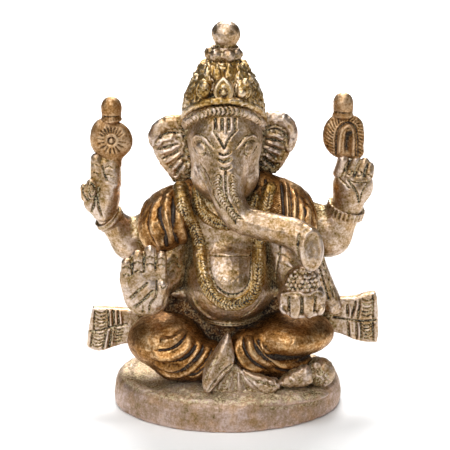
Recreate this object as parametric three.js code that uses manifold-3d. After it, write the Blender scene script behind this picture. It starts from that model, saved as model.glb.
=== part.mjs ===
// A small cast-brass seated elephant-headed deity with four arms, on an oval plinth.
// Millimetres, +Z up. The figure faces -Y, and the origin is the middle of the plinth's underside.
// Right and left are the figure's own sides, so its right hands are on the -X side.
import * as THREE from "three";
import { mergeVertices } from "three/addons/utils/BufferGeometryUtils.js";
import Module from "manifold-3d";

const wasm = await Module();
wasm.setup();

// ---- Driving dimensions ----------------------------------------------------------------------

const HEIGHT = 90; // underside of the plinth to the top of the crown's ball
const GAP = 0.3; // clearance left wherever one piece is cut to fit around another
const PLINTH = { halfWidth: 26.3, halfDepth: 20.6, height: 7.2, foot: 0.5, shoulder: 2 };

// Ellipsoids of the body: a centre and three radii.
const BELLY = { at: [0.5, -1.5, 30.5], radii: [11, 12.6, 10.6] };
const CHEST = { at: [0, 1.5, 43], radii: [12.5, 8.5, 11] };
const HIPS = { at: [0, 3.5, 17], radii: [17, 11, 11] };
const HEAD = { at: [-0.6, -3, 63.4], radii: [8.5, 9.6, 10] };
const CHEEKS = { at: [-0.6, -5, 56.5], radii: [7.4, 7.4, 6] };

// The outlines of the ears, seen from the front: [x, z].
const RIGHT_EAR = [[-6, 66], [-10, 67.2], [-14, 66.8], [-17, 64.8], [-17.9, 61.8], [-16.4, 57.6]];
RIGHT_EAR.push([-13.4, 53.4], [-11.4, 51.8], [-6, 55]);
const LEFT_EAR = [[6, 66], [9, 68], [12.4, 67.9], [15, 66], [15.8, 63], [14.6, 59.2]];
LEFT_EAR.push([12.4, 55.4], [10.2, 53.8], [6, 56]);

// The crown stands on this axis, and its brim and brow band tilt up towards the front.
const CROWN = { x: -0.9, y: -0.6, medallionRadius: 7.6, finialX: -0.4 };
const BRIM = { radius: 9, height: 68.8, tilt: 27, thickness: 1.1 };
const BROW_BAND = { radius: 8.5, height: 65.2, tilt: 37, thickness: 1 };

// Limbs run through these points, each with the limb's radius there: [x, y, z, radius].
const TRUNK = [
  [-0.5, -9.5, 61.5, 4.7],
  [-0.3, -12.2, 56, 4.3],
  [0.6, -13.6, 51.6, 4],
  [3.8, -14.6, 48.4, 3.8],
  [8.6, -15.8, 46.4, 3.5],
  [13.4, -17, 44.6, 3.2],
  [16.4, -18, 43.4, 3.1],
];
const REAR_RIGHT = {
  shoulder: [-12, 4.5, 43, 4.6],
  elbow: [-22.2, 4.5, 37.6, 4.6],
  wrist: [-27, 2.3, 43.4, 2.8],
};
const REAR_LEFT = {
  shoulder: [12, 4.5, 44, 5],
  elbow: [23.2, 4.5, 39.4, 5.6],
  wrist: [26.9, 2.6, 45.4, 3.8],
};
const FRONT_RIGHT = {
  shoulder: [-12, -1, 42, 4.8],
  elbow: [-14.4, -4.5, 32.5, 4.6],
  wrist: [-17.2, -10, 29.5, 3.3],
};
const FRONT_LEFT = {
  shoulder: [12, -1, 42, 4.8],
  elbow: [14, -5, 33.5, 4.8],
  wrist: [16, -10, 29.8, 3.6],
};

const PALM = { x: -18.3, y: -14.2, bottom: 25.4, top: 41.9, thickness: 2.6 };
const BOWL = { at: [16.5, -14.6, 33.6], radii: [4.2, 3.8, 4.1] };
const BOWL_HAND = { at: [16.5, -13.6, 29.4], radii: [5.4, 4.2, 3.9] };
const DISC = { at: [-26.1, 0, 62.6], radii: [4.9, 1.9, 4.8], knobX: -26, knobRadius: 2.2, knobHeight: 70.1 };
const CONCH = { at: [26, 0, 63.6], radii: [4.7, 2.5, 5.4], knobX: 25.8, knobRadius: 2.2, knobHeight: 71 };

// ---- Solids ----------------------------------------------------------------------------------

const degrees = THREE.MathUtils.degToRad;

// A closed geometry as a manifold-3d solid.
function solid(geometry) {
  for (const name of ["normal", "uv"]) geometry.deleteAttribute(name);
  const merged = mergeVertices(geometry, 1e-4);
  const index = merged.index.array;
  const triVerts = [];
  for (let i = 0; i < index.length; i += 3) {
    const [a, b, c] = [index[i], index[i + 1], index[i + 2]];
    if (a !== b && b !== c && c !== a) triVerts.push(a, b, c);
  }
  const vertProperties = merged.attributes.position.array;
  const mesh = new wasm.Mesh({ numProp: 3, vertProperties, triVerts: new Uint32Array(triVerts) });
  return new wasm.Manifold(mesh);
}

function join(solids) {
  return solids.reduce((whole, next) => whole.add(next));
}

// An ellipsoid, grown by grow on every side and turned by angles in degrees about X, Y and Z.
function ball(at, radii, grow = 0, angles = [0, 0, 0], segments = 12) {
  const geometry = new THREE.SphereGeometry(1, segments, Math.round(segments * 0.6));
  geometry.rotateX(Math.PI / 2);
  geometry.scale(...radii.map((radius) => radius + grow));
  const turn = new THREE.Euler(...angles.map(degrees), "XYZ");
  geometry.applyMatrix4(new THREE.Matrix4().makeRotationFromEuler(turn));
  return solid(geometry.translate(...at));
}

// A tapered rod with round ends from one [x, y, z, radius] to the next.
function taper(from, to, grow = 0, segments = 10) {
  const start = new THREE.Vector3(...from);
  const along = new THREE.Vector3(...to).sub(start);
  const length = along.length();
  const [r0, r1] = [from[3] + grow, to[3] + grow];
  const lean = Math.asin(THREE.MathUtils.clamp((r0 - r1) / length, -0.95, 0.95));
  const rings = 3;
  const profile = [];
  for (let i = 0; i <= rings; i++) {
    const angle = -Math.PI / 2 + ((Math.PI / 2 + lean) * i) / rings;
    profile.push(new THREE.Vector2(r0 * Math.cos(angle), r0 * Math.sin(angle)));
  }
  for (let i = 0; i <= rings; i++) {
    const angle = lean + ((Math.PI / 2 - lean) * i) / rings;
    profile.push(new THREE.Vector2(r1 * Math.cos(angle), length + r1 * Math.sin(angle)));
  }
  profile[0].x = 0;
  profile[profile.length - 1].x = 0;
  const geometry = new THREE.LatheGeometry(profile, segments);
  geometry.rotateX(Math.PI / 2);
  const turn = new THREE.Quaternion().setFromUnitVectors(new THREE.Vector3(0, 0, 1), along.normalize());
  geometry.applyQuaternion(turn);
  return solid(geometry.translate(start.x, start.y, start.z));
}

// A limb along a smooth curve through several [x, y, z, radius] points: a cylinder bent to follow it.
function limb(points, grow = 0, sides = 10) {
  const curve = new THREE.CatmullRomCurve3(points.map((point) => new THREE.Vector3(...point)));
  const radii = points.map((point) => point[3]);
  const steps = 3 * (points.length - 1) + 2;
  const frames = curve.computeFrenetFrames(steps, false);
  const geometry = new THREE.CylinderGeometry(1, 1, steps, sides, steps);
  const vertex = new THREE.Vector3();
  const place = geometry.attributes.position;
  for (let i = 0; i < place.count; i++) {
    vertex.fromBufferAttribute(place, i);
    const step = Math.round(steps / 2 - vertex.y);
    const share = (step / steps) * (radii.length - 1);
    const before = Math.min(Math.floor(share), radii.length - 2);
    const end = step === 0 || step === steps ? 0.7 : 1;
    const radius = end * THREE.MathUtils.lerp(radii[before], radii[before + 1], share - before) + grow;
    const { x, z } = vertex;
    curve.getPoint(step / steps, vertex);
    if (step === 0) vertex.addScaledVector(frames.tangents[step], -grow);
    if (step === steps) vertex.addScaledVector(frames.tangents[step], grow);
    vertex.addScaledVector(frames.normals[step], x * radius);
    vertex.addScaledVector(frames.binormals[step], z * radius);
    place.setXYZ(i, vertex.x, vertex.y, vertex.z);
  }
  return solid(geometry);
}

// A solid of revolution about the vertical through [x, y], from [radius, height] pairs.
function turned(profile, [x, y], grow = 0, segments = 20) {
  const last = profile.length - 1;
  const points = profile.map(([radius, height], i) => {
    const lift = i === 0 ? -grow : i === last ? grow : 0;
    return new THREE.Vector2(i === 0 || i === last ? radius : radius + grow, height + lift);
  });
  points.unshift(new THREE.Vector2(0, points[0].y));
  points.push(new THREE.Vector2(0, points[points.length - 1].y));
  return solid(new THREE.LatheGeometry(points, segments).rotateX(Math.PI / 2).translate(x, y, 0));
}

// A flat plate with softened edges, from an outline of [x, z] points: its front face looks to -Y.
function plate(outline, y, thickness, grow = 0, edge = 0.6) {
  const shape = new THREE.Shape(outline.map(([x, z]) => new THREE.Vector2(x, z)));
  const bevel = edge + grow;
  const settings = { depth: thickness - 2 * edge, bevelEnabled: true, bevelSegments: 1 };
  Object.assign(settings, { bevelSize: bevel, bevelThickness: bevel, bevelOffset: -edge });
  const geometry = new THREE.ExtrudeGeometry(shape, settings);
  geometry.rotateX(Math.PI / 2);
  return solid(geometry.translate(0, y + (thickness - 2 * edge) / 2, 0));
}

// A round bar along a smooth curve through the points, with closed flat ends.
function bar(points, radius, grow = 0, steps = 24, sides = 8) {
  const curve = new THREE.CatmullRomCurve3(points.map((point) => new THREE.Vector3(...point)));
  const section = new THREE.Shape();
  section.absarc(0, 0, radius + grow, 0, 2 * Math.PI, false);
  const settings = { steps, curveSegments: sides / 2, extrudePath: curve, bevelEnabled: false };
  return solid(new THREE.ExtrudeGeometry(section, settings));
}

// The front surface of an ellipsoid: its y at [x, z], moved forward by proud.
function frontOf({ at, radii }, x, z, proud = 0) {
  const across = (x - at[0]) / radii[0];
  const up = (z - at[2]) / radii[2];
  return at[1] - radii[1] * Math.sqrt(Math.max(0, 1 - across * across - up * up)) - proud;
}

// A ring or arc of round bar about the crown, tilted up to the front. Angle 0 is the front.
function tiltedArc({ radius, height, tilt, thickness }, from, to, grow, steps) {
  const points = [];
  const count = 12;
  for (let i = 0; i <= count; i++) {
    const angle = degrees(from + ((to - from) * i) / count);
    const forward = radius * Math.cos(angle);
    const rise = forward * Math.tan(degrees(tilt));
    points.push([CROWN.x + radius * Math.sin(angle), CROWN.y - forward, height + rise]);
  }
  return bar(points, thickness, grow, steps, 6);
}

// ---- Sub-parts: each is a function of grow, the amount by which the whole piece is swollen -----

function plinth(grow) {
  const { halfWidth, halfDepth, height, foot, shoulder } = PLINTH;
  const profile = [[halfWidth - foot, 0], [halfWidth, foot]];
  const arcSteps = 4;
  for (let i = 0; i <= arcSteps; i++) {
    const angle = (Math.PI / 2) * (i / arcSteps);
    const radius = halfWidth - shoulder + shoulder * Math.cos(angle);
    profile.push([radius, height - shoulder + shoulder * Math.sin(angle)]);
  }
  const round = turned(profile, [0, 0], grow, 36);
  return round.scale([1, (halfDepth + grow) / (halfWidth + grow), 1]);
}

function mouse(grow) {
  return join([
    ball([19.8, -9, 10], [4.1, 4.3, 3.3], grow, [0, 0, 20]),
    taper([16.4, -12.9, 9.7, 2.3], [12.8, -15.2, 8.9, 1.2], grow),
    ball([17.4, -11.8, 11.9], [1.3, 1, 1.3], grow, [0, 0, 0], 8),
  ]);
}

function frontPleats(grow) {
  const outline = [[1, 15], [3, 15.6], [9.6, 9.4], [8.8, 7.6], [-1.6, 7.6], [-1.8, 9.2]];
  const fan = plate(outline, 0, 3.4, grow);
  return fan.rotate([-12, 0, 0]).translate([0, -14.2, -0.6]);
}

function rightFoot(grow) {
  return limb([[-0.4, -12.6, 21, 1.7], [-2.2, -15, 15.4, 2.1], [-5, -15.6, 9.6, 2.2]], grow);
}

function leftFoot(grow) {
  return limb([[5.4, -14.4, 13, 1.5], [10.8, -14.6, 10.2, 1.7], [12.6, -13.4, 9.6, 1.5]], grow);
}

function rightLeg(grow) {
  return join([
    ball([-13.8, -5.4, 16.7], [9.3, 9.8, 6.4], grow),
    taper([-12, -7.6, 13, 5.4], [-5, -9.6, 13.2, 5], grow),
  ]);
}

function leftLeg(grow) {
  return join([
    ball([14.4, -5, 17.7], [10.2, 9.8, 5.4], grow),
    taper([12.6, -8, 16, 5.2], [5.2, -9.2, 16, 5.2], grow),
    taper([4.4, -10.4, 13.6, 3.8], [16, -8.6, 11.4, 3.9], grow),
  ]);
}

function waistSash(grow) {
  const points = [-9, -5, 0.5, 6, 10].map((x) => {
    const z = 21.9 + 0.0075 * (x - BELLY.at[0]) ** 2;
    return [x, frontOf(BELLY, x, 23.6) + 0.5, z];
  });
  return bar(points, 0.9, grow, 8, 6);
}

function garland(grow) {
  const route = [[-10.6, 51.6], [-9.6, 47], [-7, 42.2], [-5.9, 37], [-5, 33], [-2.8, 29.6], [0.6, 28.2]];
  route.push([4.2, 29.2], [6.4, 32.2], [6.9, 37], [7.3, 42], [8.6, 47], [9.4, 51.8]);
  const points = route.map(([x, z]) => {
    const y = Math.min(frontOf(BELLY, x, z, 0.3), frontOf(CHEST, x, z, 0.3));
    return [x, y, z];
  });
  return bar(points, 1.7, grow, 18, 6);
}

function necklace(grow) {
  const route = [[-7.2, 52.2], [-6.2, 47.8], [-3.4, 45.3], [0, 44.5]];
  route.push([3.4, 45.3], [5.6, 48], [6.8, 52.4]);
  const points = route.map(([x, z]) => [x, frontOf(CHEST, x, z, 0.2), z]);
  return bar(points, 1.4, grow, 12, 6);
}

function crownFinial(grow) {
  const ballRadius = 3.1;
  const neckRadius = 2.1;
  const steps = 6;
  const first = -Math.acos(neckRadius / ballRadius);
  const profile = [[neckRadius, 83.6]];
  for (let i = 0; i < steps; i++) {
    const angle = first + ((Math.PI / 2 - first) * i) / steps;
    profile.push([ballRadius * Math.cos(angle), HEIGHT - ballRadius + ballRadius * Math.sin(angle)]);
  }
  profile.push([0.3, HEIGHT]);
  return turned(profile, [CROWN.finialX, CROWN.y], grow, 14);
}

function crownCollar(grow) {
  const profile = [[3.6, 80.9], [4.3, 81.8], [4.4, 82.7], [3.9, 83.6], [2.6, 84]];
  return turned(profile, [CROWN.x, CROWN.y], grow, 14);
}

// Three pointed medallions stand on the brim: one in front and one at each side of it.
function crownMedallion(side) {
  return (grow) => {
    const turn = 34 * side;
    const x = CROWN.x + CROWN.medallionRadius * Math.sin(degrees(turn));
    const y = CROWN.y - CROWN.medallionRadius * Math.cos(degrees(turn));
    const z = 76 - 0.5 * Math.abs(side);
    return ball([x, y, z], [2.2, 1.5, 2.9], grow, [-16, 0, turn], 10);
  };
}

function crownPetals(grow) {
  const profile = [[5.8, 78], [6.5, 78.6], [5.8, 80], [4.4, 80.8]];
  return turned(profile, [CROWN.x, CROWN.y], grow, 14);
}

function crownBrim(grow) {
  const half = 178;
  return tiltedArc(BRIM, -half, half, grow, 18);
}

function browBand(grow) {
  return tiltedArc(BROW_BAND, -72, 72, grow, 8);
}

function crown(grow) {
  const profile = [[8.2, 62], [9, 66], [9.2, 70], [8.7, 73.4], [7.7, 76.6], [6, 79.4], [4.3, 81.2]];
  const cone = turned(profile, [CROWN.x, CROWN.y], grow, 16);
  return cone.subtract(underBrim(grow));
}

// Everything below the tilted plane of the brim, where the head fills the crown.
function underBrim(grow) {
  const size = 40;
  const block = new THREE.BoxGeometry(size, size, size).translate(0, 0, -size / 2 - grow);
  block.rotateX(-degrees(BRIM.tilt));
  return solid(block.translate(CROWN.x, CROWN.y, BRIM.height));
}

function head(grow) {
  return join([
    ball(HEAD.at, HEAD.radii, grow, [0, 0, 0], 14),
    ball(CHEEKS.at, CHEEKS.radii, grow),
    taper([-0.4, -1, 56, 6.4], [0, 0.5, 50, 6.6], grow),
  ]);
}

function trunk(grow) {
  const tip = ball([18, -18.6, 43.2], [3, 3, 4.3], grow, [0, -12, -18], 10);
  return join([limb(TRUNK, grow), tip]);
}

function ear(side, outline) {
  return (grow) => {
    const leaf = plate(outline, 0, 2.4, grow);
    return leaf.rotate([0, 0, 14 * side]).translate([0, 1.2, 0]);
  };
}

function rightPalm(grow) {
  const { x, y, bottom, top, thickness } = PALM;
  const outline = [[-20.6, 25.8], [-22.6, 29], [-23.5, 33], [-23.7, 38], [-21.6, 40.4], [-18.6, top]];
  outline.push([-16, 41.4], [-14, 39.4], [-13.2, 35], [-12.9, 30.6], [-14.6, 27], [-17.4, bottom]);
  const blade = plate(outline, y, thickness, grow, 0.9);
  const heel = ball([x + 0.2, y + 0.6, bottom + 4.6], [4.4, 2.4, 4.2], grow, [0, 0, 0], 10);
  const fingers = ball([x, y + 0.4, top - 7], [4.4, 1.9, 5.4], grow, [0, 0, 0], 10);
  return join([blade, heel, fingers]);
}

function foreArm({ elbow, wrist }) {
  return (grow) => taper(elbow, wrist, grow);
}

function upperArm({ shoulder, elbow }) {
  return (grow) => taper(shoulder, elbow, grow);
}

// A ring around a limb just above its wrist.
function bracelet({ elbow, wrist }, thickness) {
  return (grow) => {
    const along = new THREE.Vector3(...wrist).sub(new THREE.Vector3(...elbow)).normalize();
    const outer = wrist[3] + 0.7 + grow;
    const half = thickness / 2 + grow;
    const profile = [[0, -half], [outer - 0.4, -half], [outer, -half + 0.4], [outer, half - 0.4]];
    profile.push([outer - 0.4, half], [0, half]);
    const points = profile.map(([radius, height]) => new THREE.Vector2(radius, height));
    const geometry = new THREE.LatheGeometry(points, 16).rotateX(Math.PI / 2);
    const up = new THREE.Vector3(0, 0, 1);
    geometry.applyQuaternion(new THREE.Quaternion().setFromUnitVectors(up, along));
    return solid(geometry.translate(wrist[0], wrist[1], wrist[2]));
  };
}

function rearRightHand(grow) {
  return join([
    taper([-27.4, 1.8, 45.8, 2.6], [-27.1, 0.6, 51, 3.1], grow, 8),
    taper([-27.1, 0.6, 51, 3.1], [-28.1, 0, 56.4, 3.1], grow, 8),
    ball([-30.6, -0.6, 48.8], [2.9, 2.7, 4.4], grow, [0, 12, 0], 10),
  ]);
}

function rearLeftHand(grow) {
  return join([
    ball([28.4, 0.4, 53.2], [4.7, 3.7, 5.7], grow, [0, 6, 0]),
    taper([27.5, 2, 47, 3.5], [28, 1, 51, 3.9], grow),
  ]);
}

// The round knob above the disc or the conch.
function topKnob({ at, knobX, knobRadius, knobHeight }) {
  const neck = [knobX, at[1], knobHeight - 2.2, knobRadius - 0.2];
  return (grow) => taper(neck, [knobX, at[1], knobHeight, knobRadius], grow);
}

function rightShawl(grow) {
  return join([
    ball([-13.7, -0.8, 43.3], [6.1, 8.4, 8.5], grow, [0, 20, 0]),
    taper([-7.6, 1, 48.8, 4.6], [-13, 1, 44.6, 6.2], grow),
  ]);
}

function leftShawl(grow) {
  return join([
    ball([13.5, -0.8, 44.5], [6.3, 8.4, 8.7], grow, [0, -22, 0]),
    taper([7.4, 1, 50, 5.2], [12.6, 1, 46.2, 6.5], grow),
  ]);
}

function backShawl(grow) {
  return ball([0, 7, 43.5], [11.5, 3.6, 9], grow, [8, 0, 0]);
}

// A body part that is one plain ellipsoid.
function lump({ at, radii }) {
  return (grow) => ball(at, radii, grow);
}

function rightScarfEnd(grow) {
  const outline = [[-17, 20.4], [-23, 21.6], [-30.4, 21.9], [-31.4, 20.8], [-32.7, 13.4]];
  outline.push([-32, 12], [-29.4, 11.4], [-24, 13.2], [-17, 14.4]);
  return plate(outline, 2.4, 2.8, grow);
}

// The scarf's tail hangs from the left elbow to its flared end.
function leftScarfTail(grow) {
  return limb([[18.4, 1.2, 39, 2.4], [20.9, 1.6, 31, 2.4], [24, 2.2, 22.4, 2.8]], grow);
}

function leftScarfEnd(grow) {
  const outline = [[17, 21.6], [24, 24.2], [29, 24.4], [33.4, 25.6], [34.6, 24.2], [34.9, 14.6]];
  outline.push([34, 13.6], [30, 14], [25, 16], [17, 17]);
  return plate(outline, 2.4, 2.8, grow);
}

// ---- Materials: one worn-brass family, in five finishes ----------------------------------------

const finish = (color, roughness) => new THREE.MeshStandardMaterial({ color, roughness, metalness: 1 });
const PLINTH_BRASS = finish(0xa88a6c, 0.42);
const SKIN_BRASS = finish(0xb09a78, 0.4);
const CLOTH_BRONZE = finish(0x96683a, 0.36);
const GILT = finish(0xa8843c, 0.34);
const HELD_BRONZE = finish(0x8c6238, 0.38);

// ---- Assembly: each piece is cut back by every piece above it in this list ---------------------

const PIECES = [
  ["plinth", plinth, PLINTH_BRASS],
  ["mouse", mouse, SKIN_BRASS],
  ["front_pleats", frontPleats, SKIN_BRASS],
  ["right_foot", rightFoot, SKIN_BRASS],
  ["left_foot", leftFoot, SKIN_BRASS],
  ["crown_finial", crownFinial, SKIN_BRASS],
  ["crown_collar", crownCollar, SKIN_BRASS],
  ["crown_front_medallion", crownMedallion(0), GILT],
  ["crown_right_medallion", crownMedallion(-1), GILT],
  ["crown_left_medallion", crownMedallion(1), GILT],
  ["crown_petals", crownPetals, GILT],
  ["crown_brim", crownBrim, GILT],
  ["brow_band", browBand, SKIN_BRASS],
  ["crown", crown, GILT],
  ["head", head, SKIN_BRASS],
  ["trunk", trunk, SKIN_BRASS],
  ["right_ear", ear(-1, RIGHT_EAR), SKIN_BRASS],
  ["left_ear", ear(1, LEFT_EAR), SKIN_BRASS],
  ["right_palm", rightPalm, SKIN_BRASS],
  ["sweet_bowl", lump(BOWL), SKIN_BRASS],
  ["left_bowl_hand", lump(BOWL_HAND), SKIN_BRASS],
  ["garland", garland, GILT],
  ["necklace", necklace, GILT],
  ["waist_sash", waistSash, SKIN_BRASS],
  ["right_leg", rightLeg, CLOTH_BRONZE],
  ["left_leg", leftLeg, CLOTH_BRONZE],
  ["belly", lump(BELLY), SKIN_BRASS],
  ["front_right_forearm", foreArm(FRONT_RIGHT), SKIN_BRASS],
  ["front_left_forearm", foreArm(FRONT_LEFT), SKIN_BRASS],
  ["right_shawl", rightShawl, CLOTH_BRONZE],
  ["left_shawl", leftShawl, CLOTH_BRONZE],
  ["front_right_upper_arm", upperArm(FRONT_RIGHT), SKIN_BRASS],
  ["front_left_upper_arm", upperArm(FRONT_LEFT), SKIN_BRASS],
  ["back_shawl", backShawl, CLOTH_BRONZE],
  ["chest", lump(CHEST), SKIN_BRASS],
  ["hips", lump(HIPS), CLOTH_BRONZE],
  ["rear_right_bracelet", bracelet(REAR_RIGHT, 1.9), SKIN_BRASS],
  ["rear_left_bracelet", bracelet(REAR_LEFT, 2.2), SKIN_BRASS],
  ["rear_right_forearm", foreArm(REAR_RIGHT), SKIN_BRASS],
  ["rear_left_forearm", foreArm(REAR_LEFT), SKIN_BRASS],
  ["rear_right_upper_arm", upperArm(REAR_RIGHT), SKIN_BRASS],
  ["rear_left_upper_arm", upperArm(REAR_LEFT), SKIN_BRASS],
  ["disc_knob", topKnob(DISC), HELD_BRONZE],
  ["disc", lump(DISC), HELD_BRONZE],
  ["conch_knob", topKnob(CONCH), HELD_BRONZE],
  ["conch", lump(CONCH), HELD_BRONZE],
  ["rear_right_hand", rearRightHand, SKIN_BRASS],
  ["rear_left_hand", rearLeftHand, SKIN_BRASS],
  ["right_scarf_end", rightScarfEnd, SKIN_BRASS],
  ["left_scarf_end", leftScarfEnd, SKIN_BRASS],
  ["left_scarf_tail", leftScarfTail, SKIN_BRASS],
];

function boxesMeet(a, b) {
  const [p, q] = [a.boundingBox(), b.boundingBox()];
  return [0, 1, 2].every((i) => p.min[i] <= q.max[i] && q.min[i] <= p.max[i]);
}

// A cut can leave loose scraps: the largest body is the piece.
function largest(shape) {
  const bodies = shape.decompose();
  return bodies.sort((a, b) => b.volume() - a.volume())[0];
}

function asMesh(name, shape, material) {
  const { vertProperties, triVerts } = shape.getMesh();
  const geometry = new THREE.BufferGeometry();
  geometry.setAttribute("position", new THREE.BufferAttribute(vertProperties, 3));
  geometry.setIndex(new THREE.BufferAttribute(triVerts, 1));
  geometry.computeVertexNormals();
  const mesh = new THREE.Mesh(geometry, material);
  mesh.name = name;
  return mesh;
}

const statue = new THREE.Group();
const swollen = [];
for (const [name, make, material] of PIECES) {
  let shape = make(0);
  for (const other of swollen) {
    if (boxesMeet(shape, other)) shape = shape.subtract(other);
  }
  statue.add(asMesh(name, largest(shape), material));
  swollen.push(make(GAP));
}

export default statue;
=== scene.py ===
"""A worn cast-brass figurine of a seated elephant-headed deity, sculpted over its CAD frame.

Each piece is a solid of smooth lumps, written as a signed distance and meshed finely. It is then
embossed and engraved with strokes, and coloured by how deep in a crease each point lies, with painted
shade where other metal closes it in. Lengths are in millimetres until a mesh is made. Places are shares
of a CAD node's box: (0, 0, 0) is its right, front, low corner and (1, 1, 1) its left, back, high corner,
with right and left the figure's own.
"""

import itertools
import math

import bpy
import numpy as np
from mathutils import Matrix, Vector


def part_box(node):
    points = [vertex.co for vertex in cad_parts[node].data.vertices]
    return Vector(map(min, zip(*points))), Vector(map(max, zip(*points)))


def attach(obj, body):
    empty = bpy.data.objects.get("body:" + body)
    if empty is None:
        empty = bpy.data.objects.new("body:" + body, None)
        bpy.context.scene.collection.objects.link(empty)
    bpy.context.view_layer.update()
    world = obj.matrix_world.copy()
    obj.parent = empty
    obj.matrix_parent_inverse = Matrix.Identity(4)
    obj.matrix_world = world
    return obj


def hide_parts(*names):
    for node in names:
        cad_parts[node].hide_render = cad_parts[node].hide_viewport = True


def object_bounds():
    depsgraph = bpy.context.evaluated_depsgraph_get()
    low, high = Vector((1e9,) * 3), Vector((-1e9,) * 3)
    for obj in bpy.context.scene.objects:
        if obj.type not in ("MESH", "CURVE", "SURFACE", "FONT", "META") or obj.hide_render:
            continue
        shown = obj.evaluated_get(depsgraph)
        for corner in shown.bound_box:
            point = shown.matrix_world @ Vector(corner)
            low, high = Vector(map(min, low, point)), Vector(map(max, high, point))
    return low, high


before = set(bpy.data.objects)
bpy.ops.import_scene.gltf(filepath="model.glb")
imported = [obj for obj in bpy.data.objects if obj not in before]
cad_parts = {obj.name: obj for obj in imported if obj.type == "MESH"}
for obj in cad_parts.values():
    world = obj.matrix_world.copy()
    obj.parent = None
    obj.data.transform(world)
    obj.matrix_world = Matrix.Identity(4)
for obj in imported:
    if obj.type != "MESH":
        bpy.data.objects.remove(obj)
cad_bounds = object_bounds()

MM = 0.001
FINE = 0.16  # the mesh's grid where the detail is small
PLAIN = 0.26  # the mesh's grid elsewhere
BLOCK = 4  # a mesh's grid is worked out in blocks of this many cells a side
BATCH = 400000  # the most places of a grid that are worked out at once
COARSE = 0.55  # the grid on which the whole figure's closed-in places are found
THINNED = 0.35  # the share of the triangles that are kept
FAR = 1e9  # further than anything
TINY = 1e-9  # keeps a division from being by 0


# ---- The frame: boxes of CAD nodes ----------------------------------------------------------------

class Box:
    """A CAD node's box, in millimetres."""

    def __init__(self, node):
        low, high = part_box(node)
        self.low = np.array(low) / MM
        self.high = np.array(high) / MM
        self.size = self.high - self.low

    def at(self, *shares):
        """The place at these shares of the box."""
        return self.low + self.size * shares

    def sized(self, point):
        """An [x, y, z, radius] point from three shares of the box and a radius."""
        return [*self.at(*point[:3]), point[3]]

    def ball(self, shares, radii, turn=(0, 0, 0)):
        """An ellipsoid about a place in the box."""
        return ball(self.at(*shares), radii, turn)

    def rod(self, start, end):
        """A tapered rod, each end given as three shares of the box and a radius."""
        return rod(self.sized(start), self.sized(end))

    def rope(self, *points):
        """A limb through points, each given as three shares of the box and a radius."""
        return rope([self.sized(point) for point in points])

    def slab(self, outline, back, **how):
        """A plate with this outline in the box's front plane, standing at a share of its depth."""
        corners = [self.at(u, 0, w)[[0, 2]] for u, w in outline]
        return slab(corners, self.at(0, back, 0)[1], **how)


# ---- Solids: each is a function from points to signed distances -----------------------------------

def turned_axes(turn):
    """The rotation by turn, in degrees about X, then Y, then Z, as a matrix for row vectors."""
    x, y, z = (math.radians(angle) for angle in turn)
    about_x = np.array([[1, 0, 0], [0, math.cos(x), -math.sin(x)], [0, math.sin(x), math.cos(x)]])
    about_y = np.array([[math.cos(y), 0, math.sin(y)], [0, 1, 0], [-math.sin(y), 0, math.cos(y)]])
    about_z = np.array([[math.cos(z), -math.sin(z), 0], [math.sin(z), math.cos(z), 0], [0, 0, 1]])
    return about_z @ about_y @ about_x


def ball(at, radii, turn=(0, 0, 0)):
    """An ellipsoid."""
    at, radii, axes = np.array(at), np.array(radii, float), turned_axes(turn)

    def distance(p):
        local = (p - at) @ axes
        near = np.linalg.norm(local / radii, axis=1)
        steep = np.linalg.norm(local / radii**2, axis=1) + TINY
        return near * (near - 1) / steep

    return distance


def rod(start, end):
    """A tapered rod with round ends, from one [x, y, z, radius] to the next."""
    start, end = np.array(start, float), np.array(end, float)
    along = end[:3] - start[:3]

    def distance(p):
        share = np.clip((p - start[:3]) @ along / (along @ along), 0, 1)
        middle = start[:3] + share[:, None] * along
        return np.linalg.norm(p - middle, axis=1) - (start[3] + share * (end[3] - start[3]))

    return distance


def curve(points, steps=5):
    """A smooth curve through the points, with that many steps between two of them."""
    p = np.array(points, float)
    ends = np.vstack([2 * p[0] - p[1], p, 2 * p[-1] - p[-2]])
    t = np.linspace(0, 1, steps, endpoint=False)[:, None]
    spans = []
    for a, b, c, d in zip(ends, ends[1:], ends[2:], ends[3:]):
        bend = (2 * a - 5 * b + 4 * c - d) * t**2 + (3 * b - a - 3 * c + d) * t**3
        spans.append(b + 0.5 * ((c - a) * t + bend))
    return np.vstack([*spans, p[-1:]])


def rope(points, steps=4):
    """A limb along the smooth curve through [x, y, z, radius] points."""
    route = curve(points, steps)
    return join(*[rod(a, b) for a, b in zip(route, route[1:])], soft=0)


def polygon(outline):
    """The signed distance to a closed outline, of points in its plane."""
    a = np.array(outline, float)
    b = np.roll(a, -1, axis=0)

    def distance(q):
        best = np.full(len(q), FAR)
        inside = np.zeros(len(q), bool)
        for p0, p1 in zip(a, b):
            edge = p1 - p0
            off = q - p0
            share = np.clip(off @ edge / (edge @ edge), 0, 1)
            best = np.minimum(best, ((off - share[:, None] * edge) ** 2).sum(1))
            spans = (p0[1] > q[:, 1]) != (p1[1] > q[:, 1])
            rise = edge[1] if edge[1] else TINY
            inside ^= spans & (off[:, 0] < off[:, 1] * edge[0] / rise)
        return np.where(inside, -1, 1) * np.sqrt(best)

    return distance


def slab(outline, y, thickness, rounding, lean=0):
    """A plate that faces the front and leans back by lean degrees, its outline smoothed."""
    shape = polygon(curve([*outline, outline[0]], 3)[:-1])
    slope = math.tan(math.radians(lean))
    middle = np.mean([z for _, z in outline])

    def distance(p):
        across = shape(p[:, [0, 2]]) + rounding
        deep = np.abs(p[:, 1] - y - (p[:, 2] - middle) * slope) - thickness / 2 + rounding
        outside = np.hypot(np.maximum(across, 0), np.maximum(deep, 0))
        return np.minimum(np.maximum(across, deep), 0) + outside - rounding

    return distance


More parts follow.
